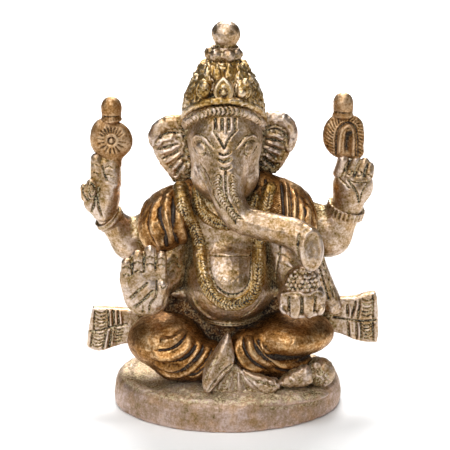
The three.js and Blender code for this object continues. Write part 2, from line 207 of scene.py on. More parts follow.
def lathe(axis, profile, squash=1.0):
    """A solid turned about an upright axis, from [radius, height] points. Squash flattens it in depth."""
    around = [*profile, *[[-radius, height] for radius, height in reversed(profile)]]
    shape = polygon(around)

    def distance(p):
        x, y = p[:, 0] - axis[0], (p[:, 1] - axis[1]) * squash
        return shape(np.column_stack([np.hypot(x, y), p[:, 2]]))

    return distance


def join(*shapes, soft=1.0):
    """The shapes together, blended over about soft mm where they meet."""
    def distance(p):
        total = shapes[0](p)
        for shape in shapes[1:]:
            other = shape(p)
            near = np.clip(0.5 + 0.5 * (other - total) / max(soft, TINY), 0, 1)
            total = other + (total - other) * near - soft * near * (1 - near)
        return total

    return distance


def cut(shape, away, soft=0.3):
    """The first shape less the second."""
    kept = join(lambda p: -shape(p), away, soft=soft)
    return lambda p: -kept(p)


SCRAMBLE = 12.9898, 78.233, 37.719, 43758.5453  # turns a cell's numbers into a value like a random one


def noise(p, size, seed=0):
    """Smooth values from -1 to 1 that change over about size mm, the same each time for a seed."""
    q = np.asarray(p) / size + 7.31 * seed
    cell = np.floor(q)
    part = q - cell
    part = part * part * (3 - 2 * part)
    total = np.zeros(len(q))
    for corner in itertools.product((0, 1), repeat=3):
        mixed = np.sin((cell + corner) @ SCRAMBLE[:3]) * SCRAMBLE[3]
        weight = np.prod(np.where(corner, part, 1 - part), axis=1)
        total += weight * (mixed - np.floor(mixed))
    return 2 * total - 1


# ---- Meshing ------------------------------------------------------------------------------------

def sampled(shape, low, counts, cell):
    """The shape's distances on a grid. Only blocks of the grid near the surface are worked out in full."""
    blocks = counts // BLOCK
    index = np.indices(blocks).reshape(3, -1).T
    rough = shape(low + (index * BLOCK + (BLOCK - 1) / 2) * cell)
    grid = rough.reshape(blocks)
    for axis in range(3):
        grid = np.repeat(grid, BLOCK, axis)
    reach = 1.6 * BLOCK * cell  # half a block's diagonal, and room for distances that aren't exact
    near = index[np.abs(rough) < reach]
    inner = np.indices((BLOCK,) * 3).reshape(3, -1).T
    places = (near[:, None] * BLOCK + inner).reshape(-1, 3)
    for part in np.array_split(places, max(1, len(places) // BATCH)):
        grid[tuple(part.T)] = shape(low + part * cell)
    return grid


def skinned(values, low, cell):
    """The surface where the values are 0, as points and four-sided faces (a surface net)."""
    inside = values < 0
    corners = list(itertools.product((0, 1), repeat=3))
    size = np.array(values.shape) - 1
    count = np.zeros(size, int)
    for corner in corners:
        count += inside[tuple(slice(c, c + s) for c, s in zip(corner, size))]
    mixed = (count > 0) & (count < len(corners))
    cells = np.argwhere(mixed)
    number = np.full(mixed.shape, -1)
    number[mixed] = np.arange(len(cells))
    total, hits = np.zeros((len(cells), 3)), np.zeros(len(cells))
    for a, b in itertools.combinations(corners, 2):
        step = np.subtract(b, a)
        if np.abs(step).sum() != 1:
            continue
        start, end = values[tuple((cells + a).T)], values[tuple((cells + b).T)]
        crosses = (start < 0) != (end < 0)
        share = np.where(crosses, start / np.where(crosses, start - end, 1), 0)
        total += np.where(crosses[:, None], np.array(a) + share[:, None] * step, 0)
        hits += crosses
    points = low + (cells + total / hits[:, None]) * cell
    faces = []
    for axis in range(3):
        second, third = (axis + 1) % 3, (axis + 2) % 3
        u, v = np.eye(3, dtype=int)[[second, third]]
        ahead = np.roll(inside, -1, axis)
        edges = np.argwhere(inside != ahead)
        edges = edges[(edges < size).all(1) & (edges[:, second] > 0) & (edges[:, third] > 0)]
        ring = [number[tuple((edges - off).T)] for off in (0 * u, u, u + v, v)]
        quads = np.column_stack(ring)
        outward = inside[tuple(edges.T)]
        faces.append(np.where(outward[:, None], quads, quads[:, ::-1]))
    return points, np.vstack(faces)


def spread(faces, count):
    """A function that averages a value over each point's neighbours."""
    edges = np.vstack([faces[:, [k, (k + 1) % 4]] for k in range(4)])
    ends = np.concatenate([edges[:, 0], edges[:, 1]])
    others = np.concatenate([edges[:, 1], edges[:, 0]])
    degree = np.maximum(np.bincount(ends, minlength=count), 1)

    def averaged(values):
        if values.ndim == 1:
            return np.bincount(ends, values[others], minlength=count) / degree
        return np.column_stack([averaged(column) for column in values.T])

    return averaged


def normals_of(points, faces):
    """The outward direction at each point, from the faces round it."""
    across = points[faces[:, 2]] - points[faces[:, 0]]
    along = points[faces[:, 3]] - points[faces[:, 1]]
    flat = np.cross(across, along)
    total = np.zeros_like(points)
    for corner in faces.T:
        for axis in range(3):
            total[:, axis] += np.bincount(corner, flat[:, axis], minlength=len(points))
    return total / (np.linalg.norm(total, axis=1, keepdims=True) + TINY)


# ---- Sculpting -----------------------------------------------------------------------------------

# A view is the two axes of its plane, its depth axis, and the side of that axis that it looks from.
FRONT = 0, 2, 1, -1
BACK = 0, 2, 1, 1
LEFT = 1, 2, 0, 1
RIGHT = 1, 2, 0, -1

# A stroke's form: its height across its width, from 0 at its edge to 1 in its middle.
FORMS = {
    "soft": lambda rise: rise * rise * (3 - 2 * rise),
    "round": lambda rise: np.sqrt(1 - (1 - rise) ** 2),
    "flat": lambda rise: np.clip(rise * 2.5, 0, 1),
}

SEEN = 0.12  # a stroke lands on points that face its view by this much or more
REACHED = -0.25  # and it shapes the points near it that face its view by this much or more

PIECES = []


class Clay:
    """A piece being sculpted over one or more CAD nodes, with slack mm of room round their boxes.

    Strokes are paths of shares of the box of its first node. How dirty each point is, or on the hips how much
    painted shade it holds, goes from 0 to 1.
    """

    def __init__(self, name, shape, nodes=None, cell=FINE, slack=1.2):
        self.name, self.shape, self.cell = name, shape, cell
        self.nodes = nodes or [name]
        boxes = [Box(node) for node in self.nodes]
        self.low = np.min([box.low for box in boxes], axis=0) - slack
        self.high = np.max([box.high for box in boxes], axis=0) + slack
        self.box = boxes[0]
        counts = np.ceil((self.high - self.low) / cell).astype(int) + 1
        counts += -counts % BLOCK
        values = sampled(shape, self.low, counts, cell)
        for axis in range(3):  # closes the mesh where the shape runs out of its room
            edge = [slice(None)] * 3
            edge[axis] = [0, -1]
            values[tuple(edge)] = np.maximum(values[tuple(edge)], 0.3 * cell)
        self.points, self.faces = skinned(values, self.low, cell)
        self.averaged = spread(self.faces, len(self.points))
        for _ in range(2):  # takes the grid's steps out of the surface
            self.points += 0.5 * (self.averaged(self.points) - self.points)
        self.dirt_and_shade = np.zeros(len(self.points))
        PIECES.append(self)

    def on(self, node):
        """Moves to this node's box, in which later strokes are placed."""
        self.box = Box(node)
        return self

    def normals(self):
        return normals_of(self.points, self.faces)

    def dropped(self, path, view, normals, box=None, steps=5):
        """A path's smooth curve, carried straight in to the first surface that faces the view.

        Its points are in mm. Each takes the outermost of the surface points close to it in the view.
        """
        box = box or self.box
        *plane, deep, side = view
        flat = curve(path, steps) if len(path) > 1 else np.array(path, float)
        flat = box.low[plane] + flat * box.size[plane]
        room = np.ptp(flat, axis=0) / 2 + 2
        near = (np.abs(self.points[:, plane] - flat.mean(0)) < room).all(1)
        seen = self.points[near & (normals[:, deep] * side > SEEN)]
        if not len(seen):
            return np.zeros((0, 3))
        apart = ((seen[None][:, :, plane] - flat[:, None]) ** 2).sum(2)
        reach = np.maximum((1.6 * self.cell) ** 2, apart.min(1, keepdims=True) * 1.01)
        height = np.where(apart <= reach, seen[None, :, deep] * side, -FAR).max(1)
        out = np.zeros((len(flat), 3))
        out[:, plane] = flat
        out[:, deep] = height * side
        return out

    def press(self, paths, width, height, view=FRONT, fade=0.0, form="soft", dirty=0.0):
        """Embosses, or engraves where height is negative, along each path. Crossing paths don't add up.

        Width is to each side, in mm. Fade is the share of the path over which each end fades out.
        """
        normals = self.normals()
        strength = np.zeros(len(self.points))
        for path in paths:
            route = self.dropped(path, view, normals)
            if not len(route):
                continue
            low, high = route.min(0) - width, route.max(0) + width
            inside = (self.points > low).all(1) & (self.points < high).all(1)
            near = np.where(inside & (normals[:, view[2]] * view[3] > REACHED))[0]
            far, along = apart_from(route, self.points[near])
            rise = FORMS[form](np.clip(1 - far / width, 0, 1))
            if fade:
                rise = rise * np.clip(np.minimum(along, 1 - along) / fade, 0, 1) ** 0.7
            strength[near] = np.maximum(strength[near], rise)
        self.points += normals * (strength * height)[:, None]
        self.dirt_and_shade = np.maximum(self.dirt_and_shade, dirty * strength)
        return self

    def engrave(self, *paths, width=0.36, depth=0.32, dirty=0.9, **how):
        """Grooves that hold dirt."""
        return self.press(paths, width, -depth, dirty=dirty, **how)

    def fold(self, *paths, width=1.2, height=0.55, fade=0.25, **how):
        """Soft ridges."""
        return self.press(paths, width, height, fade=fade, **how)

    def beads(self, centres, radius=0.45, height=0.3):
        """Round bumps on the front."""
        return self.press([[centre] for centre in centres], radius, height, form="round")

    def across(self, path, count, reach, bend=0.0, slant=0.0, view=FRONT):
        """Short strokes across a path, reach mm to each side. Their ends trail by bend and slant mm."""
        size = self.box.size[list(view[:2])]
        route = curve(path, 12) * size
        length = np.concatenate([[0], np.cumsum(np.linalg.norm(np.diff(route, axis=0), axis=1))])
        strokes = []
        for place in (np.arange(count) + 0.5) / count * length[-1]:
            middle, ahead = ([np.interp(place + step, length, axis) for axis in route.T] for step in (0, 0.3))
            forward = np.subtract(ahead, middle)
            forward = forward / (np.linalg.norm(forward) + TINY)
            aside = np.array([-forward[1], forward[0]]) * reach
            stroke = [
                middle + aside * s + forward * (bend * s * s + slant * s) for s in (-1, -0.5, 0, 0.5, 1)
            ]
            strokes.append([point / size for point in stroke])
        return strokes

    def rough(self, height, size, seed=1, where=None):
        """Lumps of up to height mm, as wide as size mm, scaled by where's value at each point."""
        lift = height * noise(self.points, size, seed)
        if where is not None:
            lift = lift * where(self.points)
        self.points += self.normals() * lift[:, None]
        return self

    def pitted(self, height, size, seed=3):
        """Small grains as on a rough casting, whose gaps hold dirt."""
        grain = noise(self.points, size, seed)
        self.points += self.normals() * (height * grain)[:, None]
        self.dirt_and_shade = np.maximum(self.dirt_and_shade, 2.5 * height * np.clip(-grain, 0, 1))
        return self

    def finish(self, material, slot):
        """The last lumps of the casting, and what the piece is coated with."""
        self.rough(0.05, 1.7, 5).rough(0.025, 0.6, 6)
        self.material, self.slot = material, slot
        return self


def apart_from(route, points):
    """Each point's distance from the route, and how far along the route its nearest place is."""
    if len(route) == 1:
        return np.linalg.norm(points - route[0], axis=1), np.full(len(points), 0.5)
    best, along = np.full(len(points), FAR), np.zeros(len(points))
    for k, (a, b) in enumerate(zip(route, route[1:])):
        edge = b - a
        share = np.clip((points - a) @ edge / (edge @ edge + TINY), 0, 1)
        far = np.linalg.norm(points - a - share[:, None] * edge, axis=1)
        closer = far < best
        best = np.where(closer, far, best)
        along = np.where(closer, (k + share) / (len(route) - 1), along)
    return best, along


def between(first, last, count):
    """Count paths that change evenly from the first into the last."""
    first, last = np.array(first), np.array(last)
    return [first + (last - first) * share for share in np.linspace(0, 1, count)]


def loop(centre, reach):
    """A closed oval path."""
    (u, w), (wide, high) = centre, reach
    turns = np.linspace(0, 2 * math.pi, 11)
    return [(u + wide * math.sin(turn), w + high * math.cos(turn)) for turn in turns]


def swapped(path):
    """The path on the other side of its box."""
    return [(1 - u, w) for u, w in path]


# ---- Base, legs and feet ---------------------------------------------------------------------------

def plinth():
    box = Box("plinth")
    radius, depth = box.size[:2] / 2
    top = box.high[2]
    profile = [
        (radius - 0.7, 0), (radius - 0.1, 0.6), (radius, 2.4), (radius - 0.2, 4.4), (radius - 0.7, 5.9)
    ]
    profile += [
        (radius - 1.6, 6.9), (radius - 2.6, top), (radius - 3.6, top - 0.1), (radius - 4.6, top - 0.5)
    ]
    ground = ball((3, -12.5, top - 0.8), (20, 7, 2))
    clay = Clay("plinth", join(lathe((0, 0), profile, squash=radius / depth), ground, soft=0.6), cell=PLAIN)
    clay.rough(0.18, 6).rough(0.08, 2.2, 2)
    clay.rough(0.3, 0.8, 4, where=lambda p: np.clip((p[:, 2] - top + 0.6) * 1.5, 0, 1))
    clay.pitted(0.05, 0.5)
    clay.dirt_and_shade = np.maximum(clay.dirt_and_shade, np.clip(clay.points[:, 2] - top + 0.9, 0, 0.5))  # dust lies on top
    clay.points[:, 2] = np.maximum(clay.points[:, 2], 0)  # flat underneath, to stand on
    return clay


def mouse():
    box = Box("mouse")
    shares = [(-0.04, 0.38), (0.14, 0.7), (0.33, 0.9), (0.5, 1.06), (0.6, 0.8), (0.58, 0.38), (0.2, 0.26)]
    head = box.slab(shares, 0.24, thickness=4, rounding=1.2)
    body = box.ball((0.76, 0.62, 0.52), (3.5, 4.2, 3.3), (0, 0, 20))
    cheek = box.ball((0.5, 0.14, 0.72), (1.1, 1.4, 1.5))
    ears = [box.ball((0.68, 0.32, 0.95), (1.1, 0.6, 1)), box.ball((0.84, 0.4, 0.86), (1, 0.6, 1))]
    clay = Clay("mouse", join(join(body, head, soft=0.6), cheek, *ears, soft=0.3))
    clay.engrave(
        [(0.6, 1), (0.63, 0.66), (0.56, 0.3)], [(0.2, 0.2), (0.4, 0.1), (0.55, 0.08)],
        width=0.45, depth=0.5,
    )
    clay.engrave([(0.62, 0.02), (0.84, 0.08), (1, 0.38)], width=0.4, depth=0.5)
    for u, w in ((0.75, 0.74), (0.88, 0.62), (0.73, 0.44), (0.88, 0.34), (0.77, 0.2)):
        clay.engrave(loop((u, w), (0.05, 0.1)), width=0.3, depth=0.4)
    return clay.rough(0.14, 0.8, 21).pitted(0.1, 0.45)


def front_pleats():
    box = Box("front_pleats")
    shares = [(0.2, 0.9), (0.4, 0.76), (0.6, 0.48), (0.94, 0.1), (0.72, -0.02), (0.47, -0.06), (0.15, -0.16)]
    shares += [(-0.08, -0.02), (-0.18, 0.08), (0, 0.46)]
    clay = Clay("front_pleats", box.slab(shares, 0.12, thickness=3, rounding=0.5, lean=20), slack=1.8)
    pleats = [(0.2, 0.72), (-0.04, 0.1)], [(0.26, 0.7), (0.14, 0)], [(0.33, 0.68), (0.42, 0.04)]
    clay.fold(*pleats, [(0.42, 0.62), (0.72, 0.12)], width=1, height=0.4)
    creases = [(0.2, 0.5), (0.1, -0.12)], [(0.33, 0.6), (0.3, 0.02)], [(0.42, 0.58), (0.58, 0)]
    return clay.engrave(*creases, width=0.36, depth=0.45).rough(0.1, 0.7, 9).pitted(0.08, 0.5)


def right_foot():
    box = Box("right_foot")
    shares = [(0.9, 1.02), (1.03, 0.77), (1.07, 0.45), (0.7, 0.22), (0.32, -0.02), (0.1, 0.08), (0.14, 0.36)]
    shares += [(0.36, 0.56), (0.62, 0.8)]
    clay = Clay("right_foot", box.slab(shares, 0.42, thickness=4, rounding=1.3, lean=14), slack=1.2)
    clay.fold([(0.86, 0.92), (0.66, 0.66), (0.44, 0.44), (0.24, 0.14)], width=1.6, height=0.9)
    clay.engrave([(1.04, 0.48), (0.68, 0.34), (0.27, 0)], width=0.4, depth=0.6)
    clay.engrave([(0.56, 0.64), (0.3, 0.4), (0.17, 0.2)], width=0.3, depth=0.25)
    return clay.rough(0.1, 1, 5).pitted(0.08, 0.5)


def left_foot():
    box = Box("left_foot")
    shares = [(-0.3, 0.95), (0, 0.72), (0.36, 0.54), (0.76, 0.38), (0.82, 0.1), (0.4, -0.1), (0, 0.38)]
    clay = Clay("left_foot", box.slab(shares, 0.5, thickness=2.6, rounding=0.7, lean=16), slack=1.4)
    clay.fold([(-0.24, 0.9), (0.02, 0.66), (0.38, 0.48), (0.76, 0.32)], width=0.8, height=0.5)
    clay.engrave([(-0.24, 0.76), (0.04, 0.52), (0.4, 0.34), (0.74, 0.2)], width=0.4, depth=0.5)
    return clay.rough(0.16, 0.8, 3).pitted(0.12, 0.5)


def right_leg():
    box = Box("right_leg")
    knee = box.ball((0.4, 0.5, 0.59), (9.1, 9.5, 6.2))
    shin = box.rod((0.48, 0.38, 0.35, 5.2), (0.82, 0.28, 0.36, 4.9))
    clay = Clay("right_leg", join(knee, shin, soft=2))
    ridges = [
        [(0.34, 0.77), (0.47, 0.78), (0.59, 0.87)],
        [(0.24, 0.58), (0.35, 0.53), (0.47, 0.54), (0.6, 0.64), (0.67, 0.76)],
        [(0.27, 0.42), (0.36, 0.36), (0.47, 0.33), (0.6, 0.43), (0.7, 0.58), (0.74, 0.72)],
        [(0.3, 0.24), (0.44, 0.2), (0.58, 0.26), (0.7, 0.4), (0.79, 0.56), (0.81, 0.68)],
        [(0.62, 0.18), (0.75, 0.32), (0.86, 0.5), (0.9, 0.62)],
    ]
    valleys = [
        [(0.27, 0.64), (0.38, 0.65), (0.47, 0.68), (0.56, 0.76), (0.62, 0.84)],
        [(0.31, 0.48), (0.44, 0.45), (0.56, 0.5), (0.65, 0.6), (0.7, 0.7)],
        [(0.3, 0.32), (0.43, 0.27), (0.53, 0.3), (0.65, 0.44), (0.74, 0.58), (0.77, 0.68)],
        [(0.5, 0.14), (0.66, 0.25), (0.78, 0.42), (0.86, 0.58)],
    ]
    clay.fold(*ridges, width=1.4, height=0.9).engrave(*valleys, width=0.5, depth=0.6, fade=0.3)
    return clay.pitted(0.04, 0.45)


def left_leg():
    box = Box("left_leg")
    knee = box.ball((0.59, 0.5, 0.7), (9.9, 9.6, 4.9))
    shin = box.rod((0.5, 0.36, 0.5, 4.8), (0.21, 0.28, 0.54, 5))
    under = box.rod((0.18, 0.24, 0.39, 3.6), (0.66, 0.34, 0.24, 3.6))
    clay = Clay("left_leg", join(join(shin, under, soft=1.5), knee, soft=0.8))
    ridges = [
        [(0.07, 0.74), (0.09, 0.56), (0.17, 0.4), (0.31, 0.24)],
        [(0.19, 0.82), (0.21, 0.66), (0.28, 0.5), (0.42, 0.34)],
        [(0.27, 0.74), (0.33, 0.58), (0.42, 0.45), (0.56, 0.33)],
    ]
    valleys = [
        [(0.03, 0.71), (0.04, 0.55), (0.08, 0.36), (0.2, 0.2)],
        [(0.13, 0.82), (0.15, 0.64), (0.23, 0.46), (0.36, 0.3)],
        [(0.24, 0.8), (0.27, 0.65), (0.35, 0.5), (0.48, 0.34)],
    ]
    clay.fold(*ridges, width=1.4, height=0.9).engrave(*valleys, width=0.5, depth=0.6, fade=0.3)
    roll_edge = [(0.28, 0.78), (0.31, 0.66), (0.39, 0.55), (0.48, 0.49), (0.64, 0.46), (0.84, 0.47)]
    clay.engrave(roll_edge, width=0.8, depth=0.9, fade=0.1)
    clay.fold([(0.4, 0.42), (0.52, 0.35), (0.66, 0.34), (0.8, 0.42)], width=1.2, height=0.5)
    clay.engrave([(0.42, 0.32), (0.56, 0.26), (0.72, 0.3), (0.86, 0.42)], width=0.5, fade=0.2)
    return clay.pitted(0.04, 0.45)


def hips():
    box = Box("hips")
    flanks = [box.ball((u, 0.4, 0.84), (4.6, 4.6, 4)) for u in (0.16, 0.84)]
    lap = box.ball((0.5, 0.5, 0.5), (16.8, 10.8, 10.8))
    clay = Clay("hips", join(lap, *flanks, soft=3), cell=PLAIN).pitted(0.1, 0.6)
    # Painted shade: the front of the lap, under the belly, is darkened as if in shadow.
    clay.dirt_and_shade = np.maximum(clay.dirt_and_shade, np.clip(0.2 - clay.points[:, 1] / 10, 0, 0.42))  # painted shade in the lap under the belly, darker towards the front
    return clay


# ---- Body, garland and shawls ------------------------------------------------------------------------

def torso():
    belly, chest = Box("belly"), Box("chest")
    stomach = belly.ball((0.5, 0.5, 0.5), (10.9, 12.4, 10.5))
    breast = chest.ball((0.5, 0.61, 0.52), (12.3, 8.4, 10.8))
    clay = Clay("torso", join(stomach, breast, soft=2), ["belly", "chest"])
    clay.pitted(0.05, 0.5)
    clay.engrave([(0.25, 0.86), (0.49, 0.875), (0.75, 0.86)], width=0.4, depth=0.45)
    panel = [(0.27, 0.88), (0.29, 0.74), (0.34, 0.61), (0.43, 0.53), (0.53, 0.5), (0.63, 0.53), (0.7, 0.61)]
    panel += [(0.72, 0.74), (0.73, 0.88)]
    clay.engrave(panel, width=0.42, depth=0.45)
    clay.engrave([(0.85, 0.42), (0.72, 0.26), (0.52, 0.17)], width=0.4, depth=0.25, fade=0.3)
    return clay.fold([(0.1, 0.42), (0.14, 0.32), (0.25, 0.2), (0.4, 0.12)], width=1, height=0.4)


def laid(box, shares, sunk, under):
    """Points over the front of the pieces named in under, sunk mm into them, from shares of a box."""
    below = [clay for clay in PIECES if clay.name in under]
    routes = [clay.dropped(shares, FRONT, clay.normals(), box, steps=4) for clay in below]
    nearest = np.min([route[:, 1] for route in routes], axis=0)
    return np.column_stack([routes[0][:, 0], nearest + sunk, routes[0][:, 2]])


def band(name, shares, radius, sunk, under):
    """A cord that lies over the pieces named in under."""
    route = laid(Box(name), shares, sunk, under)
    rods = [rod([*a, radius], [*b, radius]) for a, b in zip(route, route[1:])]
    return Clay(name, join(*rods, soft=0))


GARLAND = [(0.07, 0.96), (0.12, 0.78), (0.23, 0.6), (0.27, 0.4), (0.31, 0.25), (0.41, 0.12), (0.55, 0.06)]
GARLAND += [(0.71, 0.1), (0.8, 0.22), (0.82, 0.4), (0.84, 0.59), (0.89, 0.78), (0.93, 0.97)]


def garland():
    clay = band("garland", GARLAND, 1.8, 0.7, ("torso", "right_shawl", "left_shawl"))
    clay.press(clay.across(GARLAND, 80, 1.5, bend=0.9), 0.27, -0.28, dirty=0.9)
    clay.engrave(GARLAND, width=0.3, depth=0.25)
    return clay.pitted(0.09, 0.45)


def necklace():
    shares = [(0.1, 0.86), (0.15, 0.46), (0.31, 0.22), (0.51, 0.14), (0.71, 0.22), (0.85, 0.48), (0.92, 0.88)]
    clay = band("necklace", shares, 1.7, 0.9, ("torso",))
    clay.press(clay.across(shares, 46, 1.5), 0.24, -0.3, dirty=0.9)
    clay.engrave(shares, width=0.3, depth=0.3)
    return clay.pitted(0.06, 0.4)


def waist_sash():
    shares = [(0.03, 0.62), (0.23, 0.4), (0.5, 0.33), (0.77, 0.42), (0.97, 0.7)]
    clay = band("waist_sash", shares, 0.8, 0.1, ("torso",))
    return clay.engrave(shares, width=0.3, depth=0.25)


def fold_back_and_side(clay, mirrored, outer_view):
    """A shoulder's folds over its back and its outer side. Mirrored is list or swapped, as for the eyes."""
    top, bottom = [(0.1, 0.5), (0.3, 0.75), (0.6, 0.9)], [(0.3, 0.1), (0.6, 0.3), (0.95, 0.5)]
    clay.fold(*between(mirrored(top), mirrored(bottom), 5), width=1.1, height=0.6, view=BACK)
    front, back = [(0.2, 0.75), (0.15, 0.5), (0.2, 0.2)], [(0.85, 0.75), (0.85, 0.5), (0.8, 0.2)]
    clay.fold(*between(front, back, 5)[1:], width=0.9, height=0.5, view=outer_view)
    return clay.pitted(0.05, 0.5)


def right_shawl():
    box = Box("right_shawl")
    shoulder = box.ball((0.41, 0.5, 0.45), (5.9, 8.1, 8.3), (0, 20, 0))
    neck = box.rod((0.8, 0.61, 0.75, 4.4), (0.45, 0.61, 0.52, 6))
    clay = Clay("right_shawl", join(shoulder, neck, soft=1.5))
    ridges = [
        [(0.06, 0.56), (0.06, 0.44), (0.11, 0.3), (0.18, 0.2)],
        [(0.3, 0.84), (0.22, 0.68), (0.22, 0.5), (0.31, 0.34), (0.36, 0.2)],
        [(0.46, 0.92), (0.4, 0.78), (0.42, 0.63), (0.46, 0.46), (0.48, 0.24)],
        [(0.6, 0.9), (0.6, 0.72), (0.61, 0.55), (0.65, 0.38), (0.7, 0.2)],
    ]
    valleys = [
        [(0.17, 0.72), (0.12, 0.56), (0.15, 0.43), (0.25, 0.28)],
        [(0.37, 0.86), (0.31, 0.74), (0.32, 0.6), (0.39, 0.44), (0.42, 0.24)],
        [(0.54, 0.9), (0.51, 0.78), (0.51, 0.62), (0.54, 0.45), (0.58, 0.26)],
    ]
    clay.fold(*ridges, width=1.7, height=1).engrave(*valleys, width=0.6, depth=0.8, fade=0.3)
    clay.fold([(0.36, 0.87), (0.54, 0.92), (0.75, 0.97)], width=0.6, height=0.4)
    return fold_back_and_side(clay, list, RIGHT)


def left_shawl():
    box = Box("left_shawl")
    shoulder = box.ball((0.58, 0.5, 0.44), (6.1, 8.1, 8.5), (0, -22, 0))
    neck = box.rod((0.19, 0.61, 0.73, 5), (0.52, 0.61, 0.53, 6.3))
    clay = Clay("left_shawl", join(shoulder, neck, soft=1.5))
    ridges = [
        [(0.54, 0.92), (0.56, 0.78), (0.57, 0.6), (0.56, 0.4)],
        [(0.66, 0.84), (0.67, 0.72), (0.66, 0.55), (0.64, 0.35)],
        [(0.76, 0.76), (0.77, 0.64), (0.76, 0.5), (0.72, 0.32)],
        [(0.86, 0.66), (0.88, 0.56), (0.86, 0.44), (0.8, 0.28)],
    ]
    first = [(0.48, 0.92), (0.49, 0.78), (0.5, 0.6), (0.5, 0.4)]
    last = [(0.81, 0.7), (0.83, 0.6), (0.81, 0.48), (0.76, 0.3)]
    valleys = between(first, last, 4)
    clay.fold(*ridges, width=1.1, height=0.9).engrave(*valleys, width=0.5, depth=0.7, fade=0.25)
    clay.engrave([(0.26, 0.94), (0.26, 0.74), (0.26, 0.6)], width=0.5, depth=0.6)
    strip = [(0.37, 0.95), (0.36, 0.8), (0.37, 0.6)]
    clay.press(clay.across(strip, 16, 1.6, slant=0.6), 0.25, -0.25, dirty=0.8)
    return fold_back_and_side(clay, swapped, LEFT)


def back_shawl():
    shape = Box("back_shawl").ball((0.5, 0.49, 0.49), (11.6, 3.8, 9.2), (8, 0, 0))
    clay = Clay("back_shawl", shape, slack=0.8)
    drapes = between([(0.1, 0.85), (0.5, 0.72), (0.9, 0.85)], [(0.15, 0.4), (0.5, 0.08), (0.85, 0.4)], 6)
    return clay.fold(*drapes, width=1.2, height=0.6, view=BACK).pitted(0.05, 0.5)


def scarf_end(name, shares, groove, rules, scales, border):
    """A flared scarf end: a level groove, upright rules, columns of scales and a border line."""
    box = Box(name)
    clay = Clay(name, box.slab(shares, 0.5, thickness=2.6, rounding=0.5), slack=0.5)
    for view in (FRONT, BACK):
        clay.engrave(groove, width=0.45, depth=0.5, view=view)
        clay.engrave(*rules, *border, width=0.34, depth=0.35, view=view)
        clay.fold(*[[(u + 0.035, w) for u, w in rule] for rule in rules], width=0.4, height=0.3, view=view)
        for column in scales:
            clay.press(clay.across(column, 5, 1.2, bend=-0.5, view=view), 0.35, -0.25, view=view, dirty=0.6)
    return clay.pitted(0.06, 0.5)


def right_scarf_end():
    outline = [
        (1, 0.86), (0.62, 0.96), (0.16, 1), (0.08, 0.9), (0, 0.2), (0.05, 0.06), (0.2, 0), (0.55, 0.17),
        (1, 0.28),
    ]
    groove = [(0.02, 0.47), (0.18, 0.49), (0.37, 0.57), (0.6, 0.64)]
    rules = [
        [(0.32, 0.97), (0.33, 0.58)], [(0.4, 0.97), (0.41, 0.6)], [(0.47, 0.96), (0.48, 0.62)],
        [(0.29, 0.5), (0.24, 0.07)], [(0.37, 0.53), (0.33, 0.1)],
    ]
    scales = [[(0.22, 0.94), (0.22, 0.53)], [(0.18, 0.44), (0.15, 0.08)], [(0.47, 0.54), (0.43, 0.2)]]
    border = [[(0.13, 0.96), (0.11, 0.5)], [(0.09, 0.46), (0.06, 0.12)]]
    return scarf_end("right_scarf_end", outline, groove, rules, scales, border)


def left_scarf_end():
    outline = [
        (0, 0.67), (0.39, 0.88), (0.67, 0.9), (0.9, 1), (0.98, 0.9), (1, 0.1), (0.95, 0), (0.72, 0.04),
        (0.45, 0.2), (0, 0.28),
    ]
    groove = [(0.42, 0.52), (0.66, 0.46), (0.81, 0.44), (0.98, 0.46)]
    rules = [
        [(0.76, 0.86), (0.73, 0.5)], [(0.7, 0.84), (0.65, 0.52)], [(0.59, 0.78), (0.6, 0.54)],
        [(0.77, 0.41), (0.78, 0.06)], [(0.71, 0.41), (0.72, 0.08)], [(0.6, 0.43), (0.62, 0.13)],
    ]
    scales = [[(0.85, 0.9), (0.84, 0.5)], [(0.85, 0.38), (0.86, 0.06)]]
    border = [[(0.92, 0.96), (0.93, 0.48)], [(0.93, 0.41), (0.94, 0.03)]]
    return scarf_end("left_scarf_end", outline, groove, rules, scales, border)


def left_scarf_tail():
    box = Box("left_scarf_tail")
    shape = box.rope((0.19, 0.39, 1.03, 2.3), (0.46, 0.46, 0.55, 2.3), (0.8, 0.57, 0.03, 2.7))
    clay = Clay("left_scarf_tail", shape)
    clay.engrave([(0.3, 0.9), (0.5, 0.6), (0.72, 0.17)], [(0.44, 0.92), (0.64, 0.6), (0.86, 0.2)], width=0.36)
    return clay.pitted(0.09, 0.5)


# ---- Head and crown -----------------------------------------------------------------------------------

def face():
    head, trunk = Box("head"), Box("trunk")
    skull = head.ball((0.5, 0.49, 0.7), (8.4, 9.5, 9.9))
    cheeks = head.ball((0.5, 0.4, 0.43), (7.6, 7.4, 6.2))
    neck = head.rod((0.51, 0.59, 0.44, 6.3), (0.54, 0.67, 0.23, 6.5))
    nose = trunk.rope(
        (0.17, 0.97, 0.92, 4.5), (0.18, 0.78, 0.66, 3.8), (0.21, 0.67, 0.52, 3.5), (0.3, 0.58, 0.395, 3.3),
        (0.46, 0.51, 0.345, 3.1), (0.6, 0.45, 0.315, 3.2), (0.74, 0.38, 0.28, 3.45), (0.82, 0.32, 0.24, 3.5),
    )
    tip = trunk.ball((0.885, 0.25, 0.16), (3.1, 3, 4.9), (0, -6, -14))
    shape = join(join(skull, cheeks, neck, soft=2), join(nose, tip, soft=1), soft=1.5)
    clay = Clay("face", cut(shape, beyond_trunk(trunk), soft=0.6), ["head", "trunk"])
    clay.pitted(0.03, 0.5)
    carve_forehead(clay.on("head"))
    for mirrored in (list, swapped):
        carve_eye(clay, mirrored)
    carve_trunk(clay.on("trunk"))
    return clay


def beyond_trunk(trunk):
    """The space in front of the trunk's flat end, which faces front and left."""
    middle, facing = trunk.at(0.9, 0.07, 0.16), np.array([0.3, -0.93, 0.2])
    facing = facing / np.linalg.norm(facing)
    return lambda p: (middle - p) @ facing


